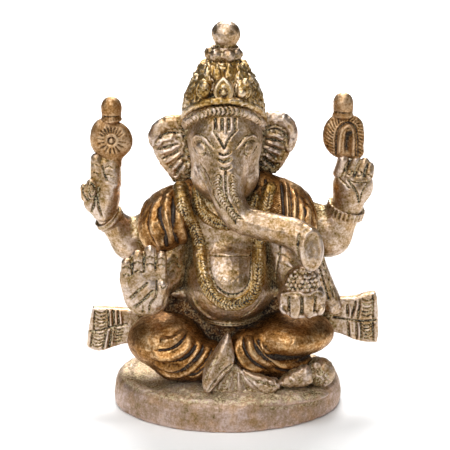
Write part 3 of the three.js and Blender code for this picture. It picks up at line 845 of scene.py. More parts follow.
def carve_forehead(clay):
    """Four upright strokes over a chevron, and a line across the top of the trunk."""
    strokes = [[(u, 0.935), (u, 0.845)] for u in (0.37, 0.46, 0.55, 0.635)]
    clay.engrave(*strokes, width=0.5, depth=0.6, fade=0.05)
    clay.engrave(
        [(0.35, 0.84), (0.42, 0.78), (0.49, 0.72)], [(0.66, 0.85), (0.56, 0.79), (0.5, 0.73)], depth=0.36
    )
    clay.fold(
        [(0.42, 0.9), (0.43, 0.83)], [(0.5, 0.9), (0.5, 0.82)], [(0.59, 0.9), (0.59, 0.85)],
        width=0.5, height=0.2,
    )
    clay.engrave([(0.4, 0.69), (0.48, 0.67), (0.59, 0.7)], width=0.42, depth=0.45, fade=0.2)


def carve_eye(clay, mirrored):
    """The figure's left eye, or its right one when mirrored is swapped."""
    clay.beads(mirrored([(0.82, 0.685)]), radius=1.5, height=0.5)
    brow = mirrored([(0.62, 0.71), (0.69, 0.745), (0.77, 0.79), (0.85, 0.8)])
    clay.engrave(brow, width=0.34, depth=0.2, fade=0.2)
    lid_crease = mirrored([(0.66, 0.65), (0.72, 0.7), (0.78, 0.74), (0.86, 0.75), (0.93, 0.71)])
    clay.engrave(lid_crease, width=0.32, depth=0.22, fade=0.15)
    upper_lid = mirrored([(0.64, 0.69), (0.71, 0.735), (0.78, 0.775), (0.87, 0.785), (0.94, 0.74)])
    clay.fold(upper_lid, width=0.5, height=0.35)
    lower_lid = mirrored([(0.74, 0.655), (0.8, 0.63), (0.87, 0.64), (0.93, 0.68)])
    clay.fold(lower_lid, width=0.4, height=0.3)
    lower_crease = mirrored([(0.75, 0.67), (0.81, 0.65), (0.87, 0.658), (0.92, 0.69)])
    clay.engrave(lower_crease, width=0.28, depth=0.2)


def carve_trunk(clay):
    """Creases at the root, two rows of scales down the front, the jaw's edge and the rim of the end."""
    creases = [[(0.1, 0.95), (0.16, 0.93), (0.23, 0.96)], [(0.11, 0.88), (0.16, 0.865), (0.23, 0.89)]]
    clay.engrave(*creases, width=0.42, depth=0.42, fade=0.2)
    lips = [[(0.1, 0.985), (0.16, 0.97), (0.23, 0.99)], [(0.11, 0.915), (0.16, 0.9), (0.23, 0.925)]]
    clay.fold(*lips, width=0.5, height=0.25)
    right_row = [(0.11, 0.83), (0.1, 0.72), (0.12, 0.63), (0.16, 0.56), (0.22, 0.49), (0.27, 0.42)]
    left_row = [(0.235, 0.84), (0.235, 0.74), (0.25, 0.64), (0.29, 0.57)]
    clay.fold(right_row, left_row, width=1.3, height=0.3, fade=0.1)
    clay.press(clay.across(right_row, 17, 0.95, bend=0.8), 0.27, -0.34, dirty=0.8)
    clay.press(clay.across(left_row, 11, 0.85, bend=0.7), 0.27, -0.26, dirty=0.6)
    middle = [(0.17, 0.85), (0.17, 0.72), (0.18, 0.62), (0.21, 0.56), (0.26, 0.48), (0.29, 0.45)]
    clay.engrave(middle, width=0.34, depth=0.36)
    jaw = [(-0.06, 0.87), (0.01, 0.78), (0.05, 0.68), (0.07, 0.6), (0.13, 0.52)]
    clay.engrave(jaw, width=0.45, depth=0.4, fade=0.15)
    clay.fold([(-0.1, 0.83), (-0.03, 0.74), (0.02, 0.64), (0.05, 0.57)], width=0.8, height=0.4)
    clay.fold(loop((0.9, 0.16), (0.085, 0.185)), width=0.8, height=0.5, fade=0)
    clay.press([[(0.9, 0.25), (0.9, 0.16), (0.9, 0.07)]], 1.7, -0.35)
    return clay.engrave([(0.8, 0.34), (0.775, 0.18), (0.8, -0.02)], width=0.5, depth=0.3, fade=0.2)


def ear(name, outline, rim, grooves, ridges):
    """A flat fan-shaped ear in a raised rim."""
    box = Box(name)
    clay = Clay(name, box.slab(outline, 0.45, thickness=2.8, rounding=0.9), slack=0.6)
    clay.press([rim], 1.5, 0.55, form="round")
    clay.engrave(*grooves, width=0.42, depth=0.5, fade=0.15)
    clay.fold(*ridges, width=0.8, height=0.5)
    clay.fold(rim, width=1.6, height=0.5, view=BACK)
    return clay.rough(0.14, 0.7, 12)


def right_ear():
    outline = [
        (1, 0.92), (0.64, 1), (0.29, 0.97), (0.06, 0.84), (0, 0.65), (0.11, 0.38), (0.35, 0.1),
        (0.52, 0), (1, 0.2),
    ]
    rim = [(0.03, 0.64), (0.1, 0.8), (0.3, 0.9), (0.62, 0.92), (0.9, 0.86)]
    grooves = [[(0.08, 0.57), (0.18, 0.69), (0.36, 0.76), (0.62, 0.75)]]
    grooves += [[(0.13, 0.51), (0.33, 0.55), (0.56, 0.6)], [(0.21, 0.36), (0.39, 0.42), (0.57, 0.51)]]
    grooves += [[(0.36, 0.22), (0.49, 0.31), (0.6, 0.41)], [(0.47, 0.09), (0.55, 0.22), (0.64, 0.34)]]
    ridges = [[(0.11, 0.56), (0.26, 0.65), (0.5, 0.68)], [(0.17, 0.44), (0.34, 0.49), (0.56, 0.56)]]
    ridges += [[(0.27, 0.29), (0.42, 0.37), (0.59, 0.46)], [(0.41, 0.17), (0.52, 0.28), (0.62, 0.38)]]
    clay = ear("right_ear", outline, rim, grooves, ridges)
    return clay.pitted(0.05, 0.45).rough(0.3, 0.6, 8, where=lambda p: p[:, 0] > clay.box.at(0.6, 0, 0)[0])


def left_ear():
    outline = [
        (0, 0.86), (0.34, 1), (0.68, 0.99), (0.93, 0.86), (1, 0.65), (0.88, 0.38), (0.67, 0.11),
        (0.46, 0), (0, 0.15),
    ]
    rim = [(0.1, 0.86), (0.4, 0.92), (0.68, 0.9), (0.9, 0.78), (0.96, 0.62), (0.88, 0.46)]
    grooves = [[(0.26, 0.72), (0.49, 0.75), (0.69, 0.7), (0.79, 0.6), (0.78, 0.47)]]
    grooves += [[(0.25, 0.6), (0.47, 0.57), (0.74, 0.53)], [(0.24, 0.51), (0.47, 0.44), (0.7, 0.39)]]
    grooves += [[(0.23, 0.42), (0.37, 0.36), (0.56, 0.28)], [(0.22, 0.28), (0.37, 0.19), (0.52, 0.11)]]
    ridges = [[(0.27, 0.66), (0.5, 0.64), (0.72, 0.59)], [(0.25, 0.555), (0.49, 0.51), (0.72, 0.46)]]
    ridges += [[(0.25, 0.47), (0.44, 0.4), (0.65, 0.34)], [(0.25, 0.35), (0.39, 0.27), (0.57, 0.2)]]
    clay = ear("left_ear", outline, rim, grooves, ridges)
    return clay.pitted(0.05, 0.45).rough(0.3, 0.6, 8, where=lambda p: p[:, 0] < clay.box.at(0.3, 0, 0)[0])


CROWN_AXIS = Box("crown_collar").at(0.5, 0.5, 0.5)[:2]


def about_crown(angle, radius, height, *more):
    """A place by its angle from the front, in degrees towards the figure's left."""
    turn = math.radians(angle)
    return [CROWN_AXIS[0] + radius * math.sin(turn), CROWN_AXIS[1] - radius * math.cos(turn), height, *more]


def crown_bar(radius, height_at, thickness, reach, count=24):
    """A bar about the crown, reach degrees to each side, its height given by how far forward it is."""
    points = []
    for angle in np.linspace(-reach, reach, count):
        height = height_at(radius * math.cos(math.radians(angle)))
        points.append(about_crown(angle, radius, height, thickness))
    return join(*[rod(a, b) for a, b in zip(points, points[1:])], soft=0)


def brim_height(forward):
    """The brim rises towards the front, and falls less towards the back."""
    middle = Box("crown_brim").at(0, 0, 0.33)[2]
    return middle + forward * np.where(forward > 0, 0.73, 0.3)


def crown():
    box = Box("crown")
    base = box.high[2] - 16.5
    profile = [(8, base), (9, base + 4), (9.3, base + 8), (8.8, base + 11.2), (7.8, base + 13.4)]
    profile += [(6.7, base + 15.4), (5.6, base + 17.4), (4.8, base + 19)]

    def under_brim(p):
        return (p[:, 2] - brim_height(CROWN_AXIS[1] - p[:, 1])) * 0.85

    clay = Clay("crown", cut(lathe(CROWN_AXIS, profile), under_brim), slack=1.6)
    clay.pitted(0.24, 0.75)
    for view in (FRONT, LEFT, RIGHT, BACK):
        rows = between([(0.04, 0.3), (0.5, 0.36), (0.96, 0.3)], [(0.16, 0.8), (0.5, 0.86), (0.84, 0.8)], 4)
        for row in rows:
            clay.press(clay.across(row, 12, 0.7, bend=0.4, view=view), 0.34, -0.34, view=view, dirty=0.8)
    clay.press([[(0.5, 0.8)]], 5.2, -0.3, form="flat")
    crescents = [(0.33, 0.96), (0.39, 0.9), (0.385, 0.76)], [(0.67, 0.95), (0.655, 0.87), (0.675, 0.72)]
    clay.fold(*crescents, width=0.8, height=1.1)
    clay.fold(
        [(0.2, 0.8), (0.26, 0.74), (0.33, 0.74)], [(0.74, 0.9), (0.77, 0.8), (0.8, 0.68)],
        width=0.7, height=0.8,
    )
    clay.fold([(0.745, 0.95), (0.735, 0.87)], width=0.6, height=0.7)
    hollows = [(0.24, 0.62), (0.3, 0.66), (0.36, 0.7)], [(0.7, 0.68), (0.76, 0.64), (0.82, 0.58)]
    return clay.engrave(*hollows, width=0.9, depth=1)


def crown_brim():
    bar = crown_bar(9, lambda forward: brim_height(forward) + 0.45, thickness=0.8, reach=178, count=40)
    clay = Clay("crown_brim", bar, slack=0.9)
    sweep = [(0.04, 0.2), (0.16, 0.36), (0.32, 0.5), (0.5, 0.56), (0.68, 0.5), (0.84, 0.36), (0.96, 0.2)]
    return clay.engrave(sweep, width=0.3, depth=0.3).pitted(0.14, 0.5)


def brow_band():
    box = Box("brow_band")
    front = box.low[2] - 1.2
    bar = crown_bar(8.4, lambda forward: front + 0.75 * forward, thickness=1.35, reach=74)
    clay = Clay("brow_band", bar)
    sweep = [(0.03, 0.1), (0.15, 0.51), (0.31, 0.76), (0.5, 0.85), (0.69, 0.76), (0.85, 0.51), (0.97, 0.1)]
    clay.press(clay.across(sweep, 20, 1.3, bend=-0.7), 0.28, -0.36, dirty=0.7)
    clay.engrave([(u, w + 0.3) for u, w in sweep], width=0.5, depth=0.4)
    return clay.pitted(0.1, 0.45)


def crown_petals():
    """Rough lumps round a shoulder, with a fan of leaves at the front."""
    low = Box("crown_petals").low[2]
    shoulder = lathe(CROWN_AXIS, [(4.9, low - 0.6), (4.9, low + 0.4), (4.4, low + 1.6), (3.8, low + 3.2)])
    lumps = [ball(about_crown(angle, 4.5, low + 0.9), (1.5, 1.5, 1.6)) for angle in range(48, 320, 32)]
    lumps += [ball(about_crown(angle, 5.8, low - 1), (1.3, 1.3, 1.3)) for angle in range(64, 320, 32)]
    leaves = []
    for turn in (-38, -14, 12, 36):
        stem = about_crown(0.5 * turn, 6.9, low - 1.8, 0.35)
        middle = about_crown(0.85 * turn, 6.3, low + 0.5, 0.9)
        leaves.append(rope([stem, middle, about_crown(1.1 * turn, 5, low + 2.8, 0.5)]))
    clay = Clay("crown_petals", join(shoulder, *lumps, *leaves, soft=0.2), slack=2.2)
    return clay.rough(0.2, 0.8, 14).pitted(0.2, 0.5)


def crown_collar():
    box = Box("crown_collar")
    lobes = [
        ball(about_crown(angle, 2.9, box.low[2] + 1.5), (1.45, 1.45, 1.5)) for angle in range(20, 360, 51)
    ]
    core = lathe(CROWN_AXIS, [(3, box.low[2] - 0.6), (3.6, box.low[2] + 1.5), (2.6, box.high[2])])
    return Clay("crown_collar", join(core, *lobes, soft=0.4), slack=0.6).pitted(0.18, 0.6)


def crown_finial():
    box = Box("crown_finial")
    globe = box.ball((0.5, 0.5, 0.5), (3.25, 3.25, 2.95))
    neck = box.rod((0.5, 0.5, 0.14, 2.3), (0.5, 0.5, -0.05, 2.6))
    ring = box.ball((0.5, 0.5, 0.04), (2.95, 2.95, 0.5))
    clay = Clay("crown_finial", join(join(globe, neck, soft=0.3), ring, soft=0.1), slack=0.5)
    return clay.rough(0.14, 1.8).pitted(0.04, 0.5)


def medallion(name, turn):
    """A round boss in a raised rim, leaning back with the crown's side."""
    clay = Clay(name, Box(name).ball((0.5, 0.5, 0.5), (2.35, 1.5, 2.8), (-16, 0, turn)), slack=0.5)
    rim = [
        (0.5, 0.97), (0.16, 0.68), (0.1, 0.36), (0.3, 0.08), (0.7, 0.08), (0.9, 0.36), (0.84, 0.68),
        (0.5, 0.97),
    ]
    clay.press([rim], 0.5, 0.4, form="round")
    clay.press([[(0.5, 0.42)]], 1.7, -0.3, dirty=0.4)
    clay.engrave(loop((0.5, 0.42), (0.2, 0.16)), width=0.3, depth=0.3)
    return clay.beads([(0.5, 0.42)], radius=0.6, height=0.6)


def crown_front_medallion():
    return medallion("crown_front_medallion", 0)


def side_medallion(name, turn, *bosses):
    """A worn medallion turned towards the side, with a groove round it and lumps on it."""
    clay = Clay(name, Box(name).ball((0.5, 0.5, 0.55), (2, 1.4, 2.3), (-16, 0, turn)), slack=0.9)
    clay.engrave([(0.16, 0.8), (0.12, 0.45), (0.4, 0.2), (0.76, 0.24), (0.92, 0.56)], width=0.4, depth=0.6)
    return clay.beads(bosses, radius=0.95, height=0.7).pitted(0.08, 0.45)


def crown_right_medallion():
    return side_medallion("crown_right_medallion", -34, (0.52, 0.74))


def crown_left_medallion():
    return side_medallion("crown_left_medallion", 34, (0.66, 0.86), (0.42, 0.44))


# ---- Arms and what the hands hold ---------------------------------------------------------------------

def arm(side, shoulder, elbow, wrist, *more):
    """An upper arm and a forearm in one: the shoulder and the elbow are placed in the upper arm's box."""
    nodes = [f"{side}_upper_arm", f"{side}_forearm"]
    upper, fore = Box(nodes[0]), Box(nodes[1])
    bend = upper.sized(elbow)
    shape = join(rod(upper.sized(shoulder), bend), rod(bend, fore.sized(wrist)), *more, soft=1)
    return Clay(f"{side}_arm", shape, nodes, cell=PLAIN).pitted(0.05, 0.5)


def rear_right_arm():
    return arm("rear_right", (0.82, 0.5, 0.7, 4.5), (0.03, 0.5, 0.26, 4.5), (0.16, 0.28, 0.9, 2.8))


def rear_left_arm():
    return arm("rear_left", (0.17, 0.5, 0.7, 4.9), (0.98, 0.5, 0.34, 5.5), (0.76, 0.33, 0.9, 3.7))


def web(side, near, far):
    """The cast metal between a forearm and the belly."""
    return Box(f"{side}_forearm").rod((near, 0.95, 0.65, 2.8), (far, 0.9, 0.1, 2.6))


def front_right_arm():
    points = (0.6, 0.72, 0.95, 4.7), (0.39, 0.38, 0.17, 4.5), (0.3, 0.17, 0.3, 3.2)
    return arm("front_right", *points, web("front_right", 0.8, 0.95)).rough(0.18, 0.7, 7)


def front_left_arm():
    points = (0.41, 0.72, 0.97, 4.7), (0.59, 0.35, 0.18, 4.7), (0.65, 0.15, 0.3, 3.5)
    clay = arm("front_left", *points, web("front_left", 0.25, 0.1))
    clay.engrave([(0.4, 0.8), (0.36, 0.55), (0.31, 0.3), (0.26, -0.05)], width=0.4, depth=0.45)
    clay.engrave([(0.3, 0.62), (0.49, 0.58), (0.75, 0.4)], width=0.36)
    return clay.fold([(0.34, 0.5), (0.52, 0.46), (0.75, 0.28)], width=0.6, height=0.4)


def bracelet(name, towards, inner, ribs):
    """A ring round a wrist, whose axis points towards the hand, with ribs round it or else two grooves."""
    middle = Box(name).at(0.5, 0.5, 0.5)
    axis = np.array(towards, float) / np.linalg.norm(towards)
    first = np.cross(axis, [0, 1, 0])
    second = np.cross(axis, first)

    def distance(p):
        off = p - middle
        along = off @ axis
        out = np.linalg.norm(off - along[:, None] * axis, axis=1)
        around = np.arctan2(off @ first, off @ second)
        lines = 0.16 * np.cos(around * ribs) if ribs else 0.18 * np.cos(along * 4.5)
        return np.maximum(np.abs(along) - 1.1, np.abs(out - inner) - 0.6 - lines) * 0.8

    return Clay(name, distance)


def rear_right_bracelet():
    return bracelet("rear_right_bracelet", (-4.8, -2.2, 5.8), 2.85, 0)


def rear_left_bracelet():
    return bracelet("rear_left_bracelet", (1.8, -1, 6), 3.75, 26)


def rear_right_hand():
    box = Box("rear_right_hand")
    palm = box.rope(
        (0.58, 0.62, 0.08, 3), (0.66, 0.52, 0.38, 3), (0.68, 0.44, 0.62, 2.4), (0.62, 0.46, 0.86, 1.9)
    )
    pointer = box.rod((0.78, 0.4, 0.55, 2.2), (0.8, 0.42, 0.9, 1.8))
    second = box.rod((0.42, 0.36, 0.56, 1.5), (0.42, 0.38, 0.93, 1.35))
    curled = [
        box.rod((0.32, 0.26, 0.38, 1.2), (0.3, 0.2, 0.56, 1.2)),
        box.rod((0.15, 0.36, 0.32, 1.1), (0.13, 0.3, 0.48, 1)),
    ]
    heel = box.ball((0.36, 0.5, 0.24), (2.6, 2.3, 3), (0, 12, 0))
    clay = Clay("rear_right_hand", join(join(palm, heel, soft=1), pointer, second, *curled, soft=0.35))
    clay.engrave(
        [(0.56, 0.84), (0.6, 0.74), (0.68, 0.62)], [(0.28, 0.61), (0.39, 0.53), (0.45, 0.38)], width=0.4
    )
    clay.engrave(
        [(0.23, 0.62), (0.2, 0.5), (0.28, 0.36), (0.42, 0.38)], [(0.13, 0.56), (0.08, 0.43), (0.2, 0.3)]
    )
    clay.engrave(loop((0.31, 0.5), (0.06, 0.07)), width=0.24, depth=0.22, dirty=0.6)
    clay.engrave(
        [(0.41, 0.36), (0.34, 0.21), (0.27, 0.08)], [(0.43, 0.36), (0.46, 0.2), (0.52, 0.04)],
        depth=0.45, width=0.5,
    )
    rings = [[(0.28, 0.84), (0.36, 0.87), (0.46, 0.85)], [(0.28, 0.72), (0.36, 0.74), (0.46, 0.72)]]
    rings += [[(0.64, 0.82), (0.72, 0.84), (0.82, 0.81)], [(0.62, 0.69), (0.7, 0.71), (0.8, 0.69)]]
    return clay.engrave(*rings, width=0.28, depth=0.24, dirty=0.6).pitted(0.03, 0.5)


def rear_left_hand():
    box = Box("rear_left_hand")
    fist = box.ball((0.5, 0.46, 0.46), (4.6, 3.4, 4.9), (0, 6, 0))
    wrist = box.rod((0.38, 0.61, 0.08, 3.6), (0.46, 0.49, 0.41, 3.8))
    fingers = [
        box.rod((low, 0.24, 0.68, 1.1), (high, 0.28, top, 1.05))
        for low, high, top in ((0.39, 0.55, 0.93), (0.64, 0.76, 0.9), (0.86, 0.88, 0.82))
    ]
    thumb = box.rod((0.14, 0.36, 0.7, 1.3), (0.24, 0.3, 0.94, 1.25))
    knuckles = box.rod((0.3, 0.5, 0.78, 1.9), (0.66, 0.5, 0.78, 1.9))
    clay = Clay("rear_left_hand", join(join(fist, wrist, knuckles, soft=0.8), *fingers, thumb, soft=0.25))
    gaps = [[(0.42, 0.97), (0.32, 0.85), (0.27, 0.7)], [(0.65, 0.95), (0.56, 0.83), (0.51, 0.68)]]
    clay.engrave(*gaps, [(0.83, 0.88), (0.77, 0.78), (0.74, 0.66)], width=0.42, depth=0.5)
    for u, w in ((0.38, 0.75), (0.62, 0.72), (0.84, 0.66)):
        clay.engrave(loop((u, w), (0.08, 0.045)), width=0.26, depth=0.28, dirty=0.7)
    clay.engrave(
        [(0.38, 0.6), (0.56, 0.42), (0.64, 0.2)], [(0.64, 0.2), (0.72, 0.43), (0.88, 0.58)], width=0.4
    )
    clay.engrave([(0.36, 0.61), (0.56, 0.58), (0.84, 0.57)], width=0.32)
    return clay.engrave([(0.13, 0.63), (0.28, 0.56), (0.38, 0.49)], width=0.32).pitted(0.03, 0.5)


def right_palm():
    box = Box("right_palm")
    heel = box.ball((0.52, 0.5, 0.28), (5, 2.2, 4.7))
    flat = box.ball((0.46, 0.52, 0.54), (5.3, 1.8, 6.2))
    fingers = [
        box.rod((u, 0.5, 0.5, thick + 0.15), (u, 0.4, tip, thick))
        for u, tip, thick in ((0.12, 0.76, 1.2), (0.35, 0.86, 1.4), (0.61, 0.93, 1.35), (0.84, 0.86, 1.15))
    ]
    thumb = box.rod((0.72, 0.3, 0.22, 1.6), (0.86, 0.36, 0.48, 1.3))
    clay = Clay("right_palm", join(join(heel, flat, soft=1.5), *fingers, thumb, soft=0.25))
    clay.engrave(
        [(0.235, 0.88), (0.235, 0.62)], [(0.485, 1), (0.48, 0.66)], [(0.73, 0.98), (0.72, 0.68)],
        depth=0.5,
    )
    for left, right, *heights in (
        (0.03, 0.21, 0.72, 0.61), (0.26, 0.46, 0.79, 0.66), (0.51, 0.71, 0.86, 0.76), (0.75, 0.93, 0.84, 0.75)
    ):
        joints = [[(left, w - 0.01), ((left + right) / 2, w + 0.015), (right, w - 0.01)] for w in heights]
        clay.engrave(*joints, width=0.28, depth=0.26, dirty=0.6)
    clay.engrave(
        [(0.2, 0.3), (0.39, 0.42), (0.54, 0.5)], [(0.28, 0.16), (0.46, 0.27), (0.66, 0.4)],
        width=0.6, depth=0.45,
    )
    clay.engrave([(0.74, 0.54), (0.73, 0.4), (0.7, 0.31), (0.6, 0.22), (0.58, 0.09)], width=0.36, depth=0.35)
    clay.engrave(
        [(0.8, 0.48), (0.87, 0.44), (0.95, 0.46)], [(0.46, 0.19), (0.44, 0.09)], width=0.28, depth=0.25
    )
    return clay.pitted(0.05, 0.45)


def sweet_bowl():
    clay = Clay("sweet_bowl", Box("sweet_bowl").ball((0.5, 0.56, 0.46), (4.05, 3.3, 4.1)))
    rows = (0.4, 7), (0.52, 8), (0.64, 7), (0.76, 6), (0.88, 4)
    grains = [(0.5 + (k - (count - 1) / 2) * 0.125, w) for w, count in rows for k in range(count)]
    return clay.beads(grains, radius=0.5, height=0.4).pitted(0.16, 0.5)


def left_bowl_hand():
    box = Box("left_bowl_hand")
    cup = box.ball((0.5, 0.45, 0.66), (5.4, 4.4, 4.2))
    fingers = [
        box.rod((u, v, 0.34, thick), (u, v, 0.82, thick))
        for u, v, thick in ((0.1, 0.22, 0.8), (0.35, 0.1, 1.25), (0.63, 0.1, 1.25), (0.89, 0.22, 0.9))
    ]
    clay = Clay("left_bowl_hand", join(cup, *fingers, soft=0.25))
    clay.engrave(
        [(0.2, 0.84), (0.21, 0.24)], [(0.49, 0.86), (0.49, 0.14)], [(0.79, 0.84), (0.77, 0.24)],
        width=0.6, depth=0.9,
    )
    heel = [(0.03, 0.56), (0.14, 0.26), (0.35, 0.14), (0.6, 0.12), (0.84, 0.22), (0.97, 0.54)]
    clay.fold(heel, width=1, height=0.6, fade=0.1)
    rim = [(0.08, 0.92), (0.35, 1.02), (0.6, 0.97), (0.8, 1.04), (0.95, 0.95)]
    return clay.fold(rim, width=0.5, height=0.4, fade=0.05).pitted(0.08, 0.45)


def disc():
    box = Box("disc")
    shoulder = box.ball((0.3, 0.5, 0.7), (2.5, 1.4, 3.2))
    stem = box.rope((0.5, 0.5, 0.35, 2), (0.57, 0.5, -0.1, 1.6))
    clay = Clay("disc", join(box.ball((0.5, 0.5, 0.5), (4.8, 1.8, 4.6)), shoulder, stem, soft=1), slack=1.6)
    spokes = [
        [(0.51 + near * math.sin(turn), 0.54 + near * math.cos(turn)) for near in (0.16, 0.25, 0.36)]
        for turn in np.radians((*range(-60, 75, 15), 100, 122, 145, 165, 187, 210, 232, 255, 278))
    ]
    clay.engrave(*spokes, width=0.28, depth=0.3, fade=0.2)
    clay.engrave(loop((0.51, 0.54), (0.075, 0.075)), width=0.34, depth=0.4)
    clay.beads([(0.51, 0.54)], radius=0.5, height=0.35)
    return clay.pitted(0.04, 0.45)


def conch():
    box = Box("conch")
    side = box.rope((0.76, 0.5, 0.74, 1.9), (0.8, 0.5, 0.16, 1.9))
    clay = Clay("conch", join(box.ball((0.49, 0.5, 0.52), (4.6, 2.4, 5.3)), side, soft=0.8))
    arch = [(0.3, 0.08), (0.31, 0.6), (0.44, 0.8), (0.61, 0.86), (0.77, 0.76), (0.85, 0.5), (0.86, 0.08)]
    clay.engrave(arch, width=0.45, depth=0.5)
    clay.fold(
        [(0.38, 0.1), (0.42, 0.62), (0.6, 0.78), (0.72, 0.62), (0.72, 0.08)],
        width=0.6, height=0.5, fade=0.05,
    )
    clay.engrave([(0.62, 0.68), (0.58, 0.45), (0.57, 0.15)], width=0.9, depth=1.1, fade=0.2)
    clay.engrave([(0.79, 0.62), (0.8, 0.1)], width=0.3, depth=0.35)
    edge = [
        (0.17, 0.1), (0.12, 0.5), (0.2, 0.78), (0.42, 0.96), (0.66, 0.97), (0.9, 0.84), (0.97, 0.55),
        (0.95, 0.1),
    ]
    clay.press(clay.across(edge, 28, 0.8, slant=0.4), 0.28, -0.34, dirty=0.8)
    return clay.pitted(0.04, 0.45)


def top_knob(name):
    """A knob on a collar."""
    box = Box(name)
    knob = box.rod((0.5, 0.5, 0.4, 2.2), (0.5, 0.5, 0.66, 2.3))
    collar = box.ball((0.5, 0.5, 0.22), (2.4, 2.2, 1))
    clay = Clay(name, join(knob, collar, soft=0.3))
    return clay.engrave([(-0.1, 0.37), (0.5, 0.37), (1.1, 0.37)], width=0.32, depth=0.3).rough(0.12, 1.8)


def disc_knob():
    return top_knob("disc_knob")


def conch_knob():
    return top_knob("conch_knob")


# ---- Brass ---------------------------------------------------------------------------------------------

DEPTHS = 0, 0.22, 0.45, 0.68, 1  # where a brass's five colours stand, from deepest crease to highest edge
DUST = 0.6, 0.52, 0.32
GOLDEN = 1, 0.87, 0.62  # the tint where the metal is yellower


def brass(name, colours, rough=0.4, dust=0.55, soot_and_shade=0.7):
    """Worn cast brass, coloured by depth and by painted shade: the colours go from the deepest crease to the
    highest edge.

    Rough is the roughness of its high edges, dust how thickly pale grains of old polish lie in the
    creases, and the last how much the creases darken, by soot and by painted shade where other metal closes
    them in.
    """
    material = bpy.data.materials.new(name)
    material.use_nodes = True
    tree = material.node_tree
    shader = tree.nodes["Principled BSDF"]

    def node(kind, inputs=None, **settings):
        made = tree.nodes.new("ShaderNode" + kind)
        for key, value in settings.items():
            setattr(made, key, value)
        for key, value in (inputs or {}).items():
            if isinstance(value, bpy.types.NodeSocket):
                tree.links.new(value, made.inputs[key])
            else:
                made.inputs[key].default_value = value
        return made

    place = node("TexCoord").outputs["Object"]

    def speckle(size, detail=2.0):
        """Noise whose patches are about size mm wide."""
        return node("TexNoise", {"Vector": place, "Scale": 1 / (size * MM), "Detail": detail}).outputs[0]

    def maths(operation, a, b, clamp=False):
        return node("Math", {0: a, 1: b}, operation=operation, use_clamp=clamp).outputs[0]

    def swing(noise_value, amount):
        """The noise, moved to lie about 0."""
        return maths("MULTIPLY", maths("SUBTRACT", noise_value, 0.5), amount)

    def ramp(value, low, high):
        """From 0 at low to 1 at high."""
        return node("MapRange", {"Value": value, "From Min": low, "From Max": high}, clamp=True).outputs[0]

    crease_and_shade = node("Attribute", attribute_name="crease_and_shade").outputs["Fac"]
    edge = node("Attribute", attribute_name="edge").outputs["Fac"]
    broad, patchy, grain = speckle(6), speckle(1.1), speckle(0.42, 3)

    # How high the surface stands, less the darkening of the creases by soot and by painted shade, from 0 to
    # 1, broken up by patches of three sizes.
    # Painted shade: creases closed in by other metal move the colour towards the dark end of the ramp.
    level = maths("SUBTRACT", maths("MULTIPLY", edge, 0.5), maths("MULTIPLY", crease_and_shade, soot_and_shade))
    level = maths("ADD", maths("ADD", level, 0.66), swing(broad, 0.9))
    level = maths("ADD", level, maths("ADD", swing(patchy, 0.8), swing(grain, 1)), clamp=True)
    colour = node("ValToRGB", {"Fac": level})
    stops = colour.color_ramp.elements
    for depth in DEPTHS[1:-1]:
        stops.new(depth)
    for stop, depth, rgb in zip(stops, DEPTHS, colours):
        stop.position = depth
        stop.color = (*rgb, 1)

    def blended(share, under, over, how="MIX"):
        """The colour under, with the colour over laid on it by share."""
        inputs = {0: share, 6: under, 7: (*over, 1)}
        return node("Mix", inputs, data_type="RGBA", blend_type=how).outputs[2]

    warmth = maths("MULTIPLY", ramp(speckle(3.4, 3), 0.48, 0.64), 0.7)
    warmed = blended(warmth, colour.outputs[0], GOLDEN, "MULTIPLY")
    settled = maths("MULTIPLY", ramp(crease_and_shade, 0.1, 0.35), ramp(grain, 0.5, 0.6))
    dusty = blended(maths("MULTIPLY", settled, dust), warmed, DUST)
    roughness = maths("SUBTRACT", rough + 0.2, maths("MULTIPLY", level, 0.22))
    tree.links.new(dusty, shader.inputs["Base Color"])
    tree.links.new(ramp(crease_and_shade, 0.8, 0.3), shader.inputs["Metallic"])  # dirt in a deep crease isn't metal, and places darkened by painted shade are made less metallic too
    tree.links.new(roughness, shader.inputs["Roughness"])
    relief = maths("ADD", grain, maths("MULTIPLY", patchy, 1.5))
    bump = node("Bump", {"Height": relief, "Distance": 0.12 * MM, "Strength": 0.45})
    tree.links.new(bump.outputs[0], shader.inputs["Normal"])
    return material


# ---- Where dirt gathers and where shade is painted ---------------------------------------------------

def blurred(grid, reach):
    """The grid with each value averaged over its neighbours, reach cells to each side, twice."""
    for axis in range(3):
        for _ in range(2):
            grid = sum(np.roll(grid, k, axis) for k in range(-reach, reach + 1)) / (2 * reach + 1)
    return grid


def fullness():
    """How full of metal the space round the figure is, on a coarse grid, averaged near and wide."""
    margin = 6
    low = np.array(cad_bounds[0]) / MM - margin
    high = np.array(cad_bounds[1]) / MM + margin
    counts = np.ceil((high - low) / COARSE).astype(int)
    full = np.zeros(counts)
    for clay in PIECES:
        first = np.clip(np.floor((clay.low - low) / COARSE).astype(int), 0, counts)
        last = np.clip(np.ceil((clay.high - low) / COARSE).astype(int), 0, counts)
        index = np.indices(last - first).reshape(3, -1).T + first
        solid = np.clip(0.5 - clay.shape(low + index * COARSE) / COARSE, 0, 1)
        cells = tuple(index.T)
        full[cells] = np.maximum(full[cells], solid)
    near = blurred(full, 2)
    return low, near, blurred(near, 4)


def read_grid(grid, low, points):
    """The grid's values at points, mixed between the grid's eight nearest places."""
    q = np.clip((points - low) / COARSE, 0, np.array(grid.shape) - 1.001)
    cell = np.floor(q).astype(int)
    part = q - cell
    total = np.zeros(len(q))
    for corner in itertools.product((0, 1), repeat=3):
        weight = np.prod(np.where(corner, part, 1 - part), axis=1)
        total += weight * grid[tuple((cell + corner).T)]
    return total


def sunken(clay, normals):
    """How deep each point lies under the piece smoothed a little, and under the piece smoothed more."""
    smoothed, depths = clay.points, []
    for more_rounds in (4, 8):
        for _ in range(more_rounds):
            smoothed = clay.averaged(smoothed)
        depths.append(((smoothed - clay.points) * normals).sum(1))
    return depths


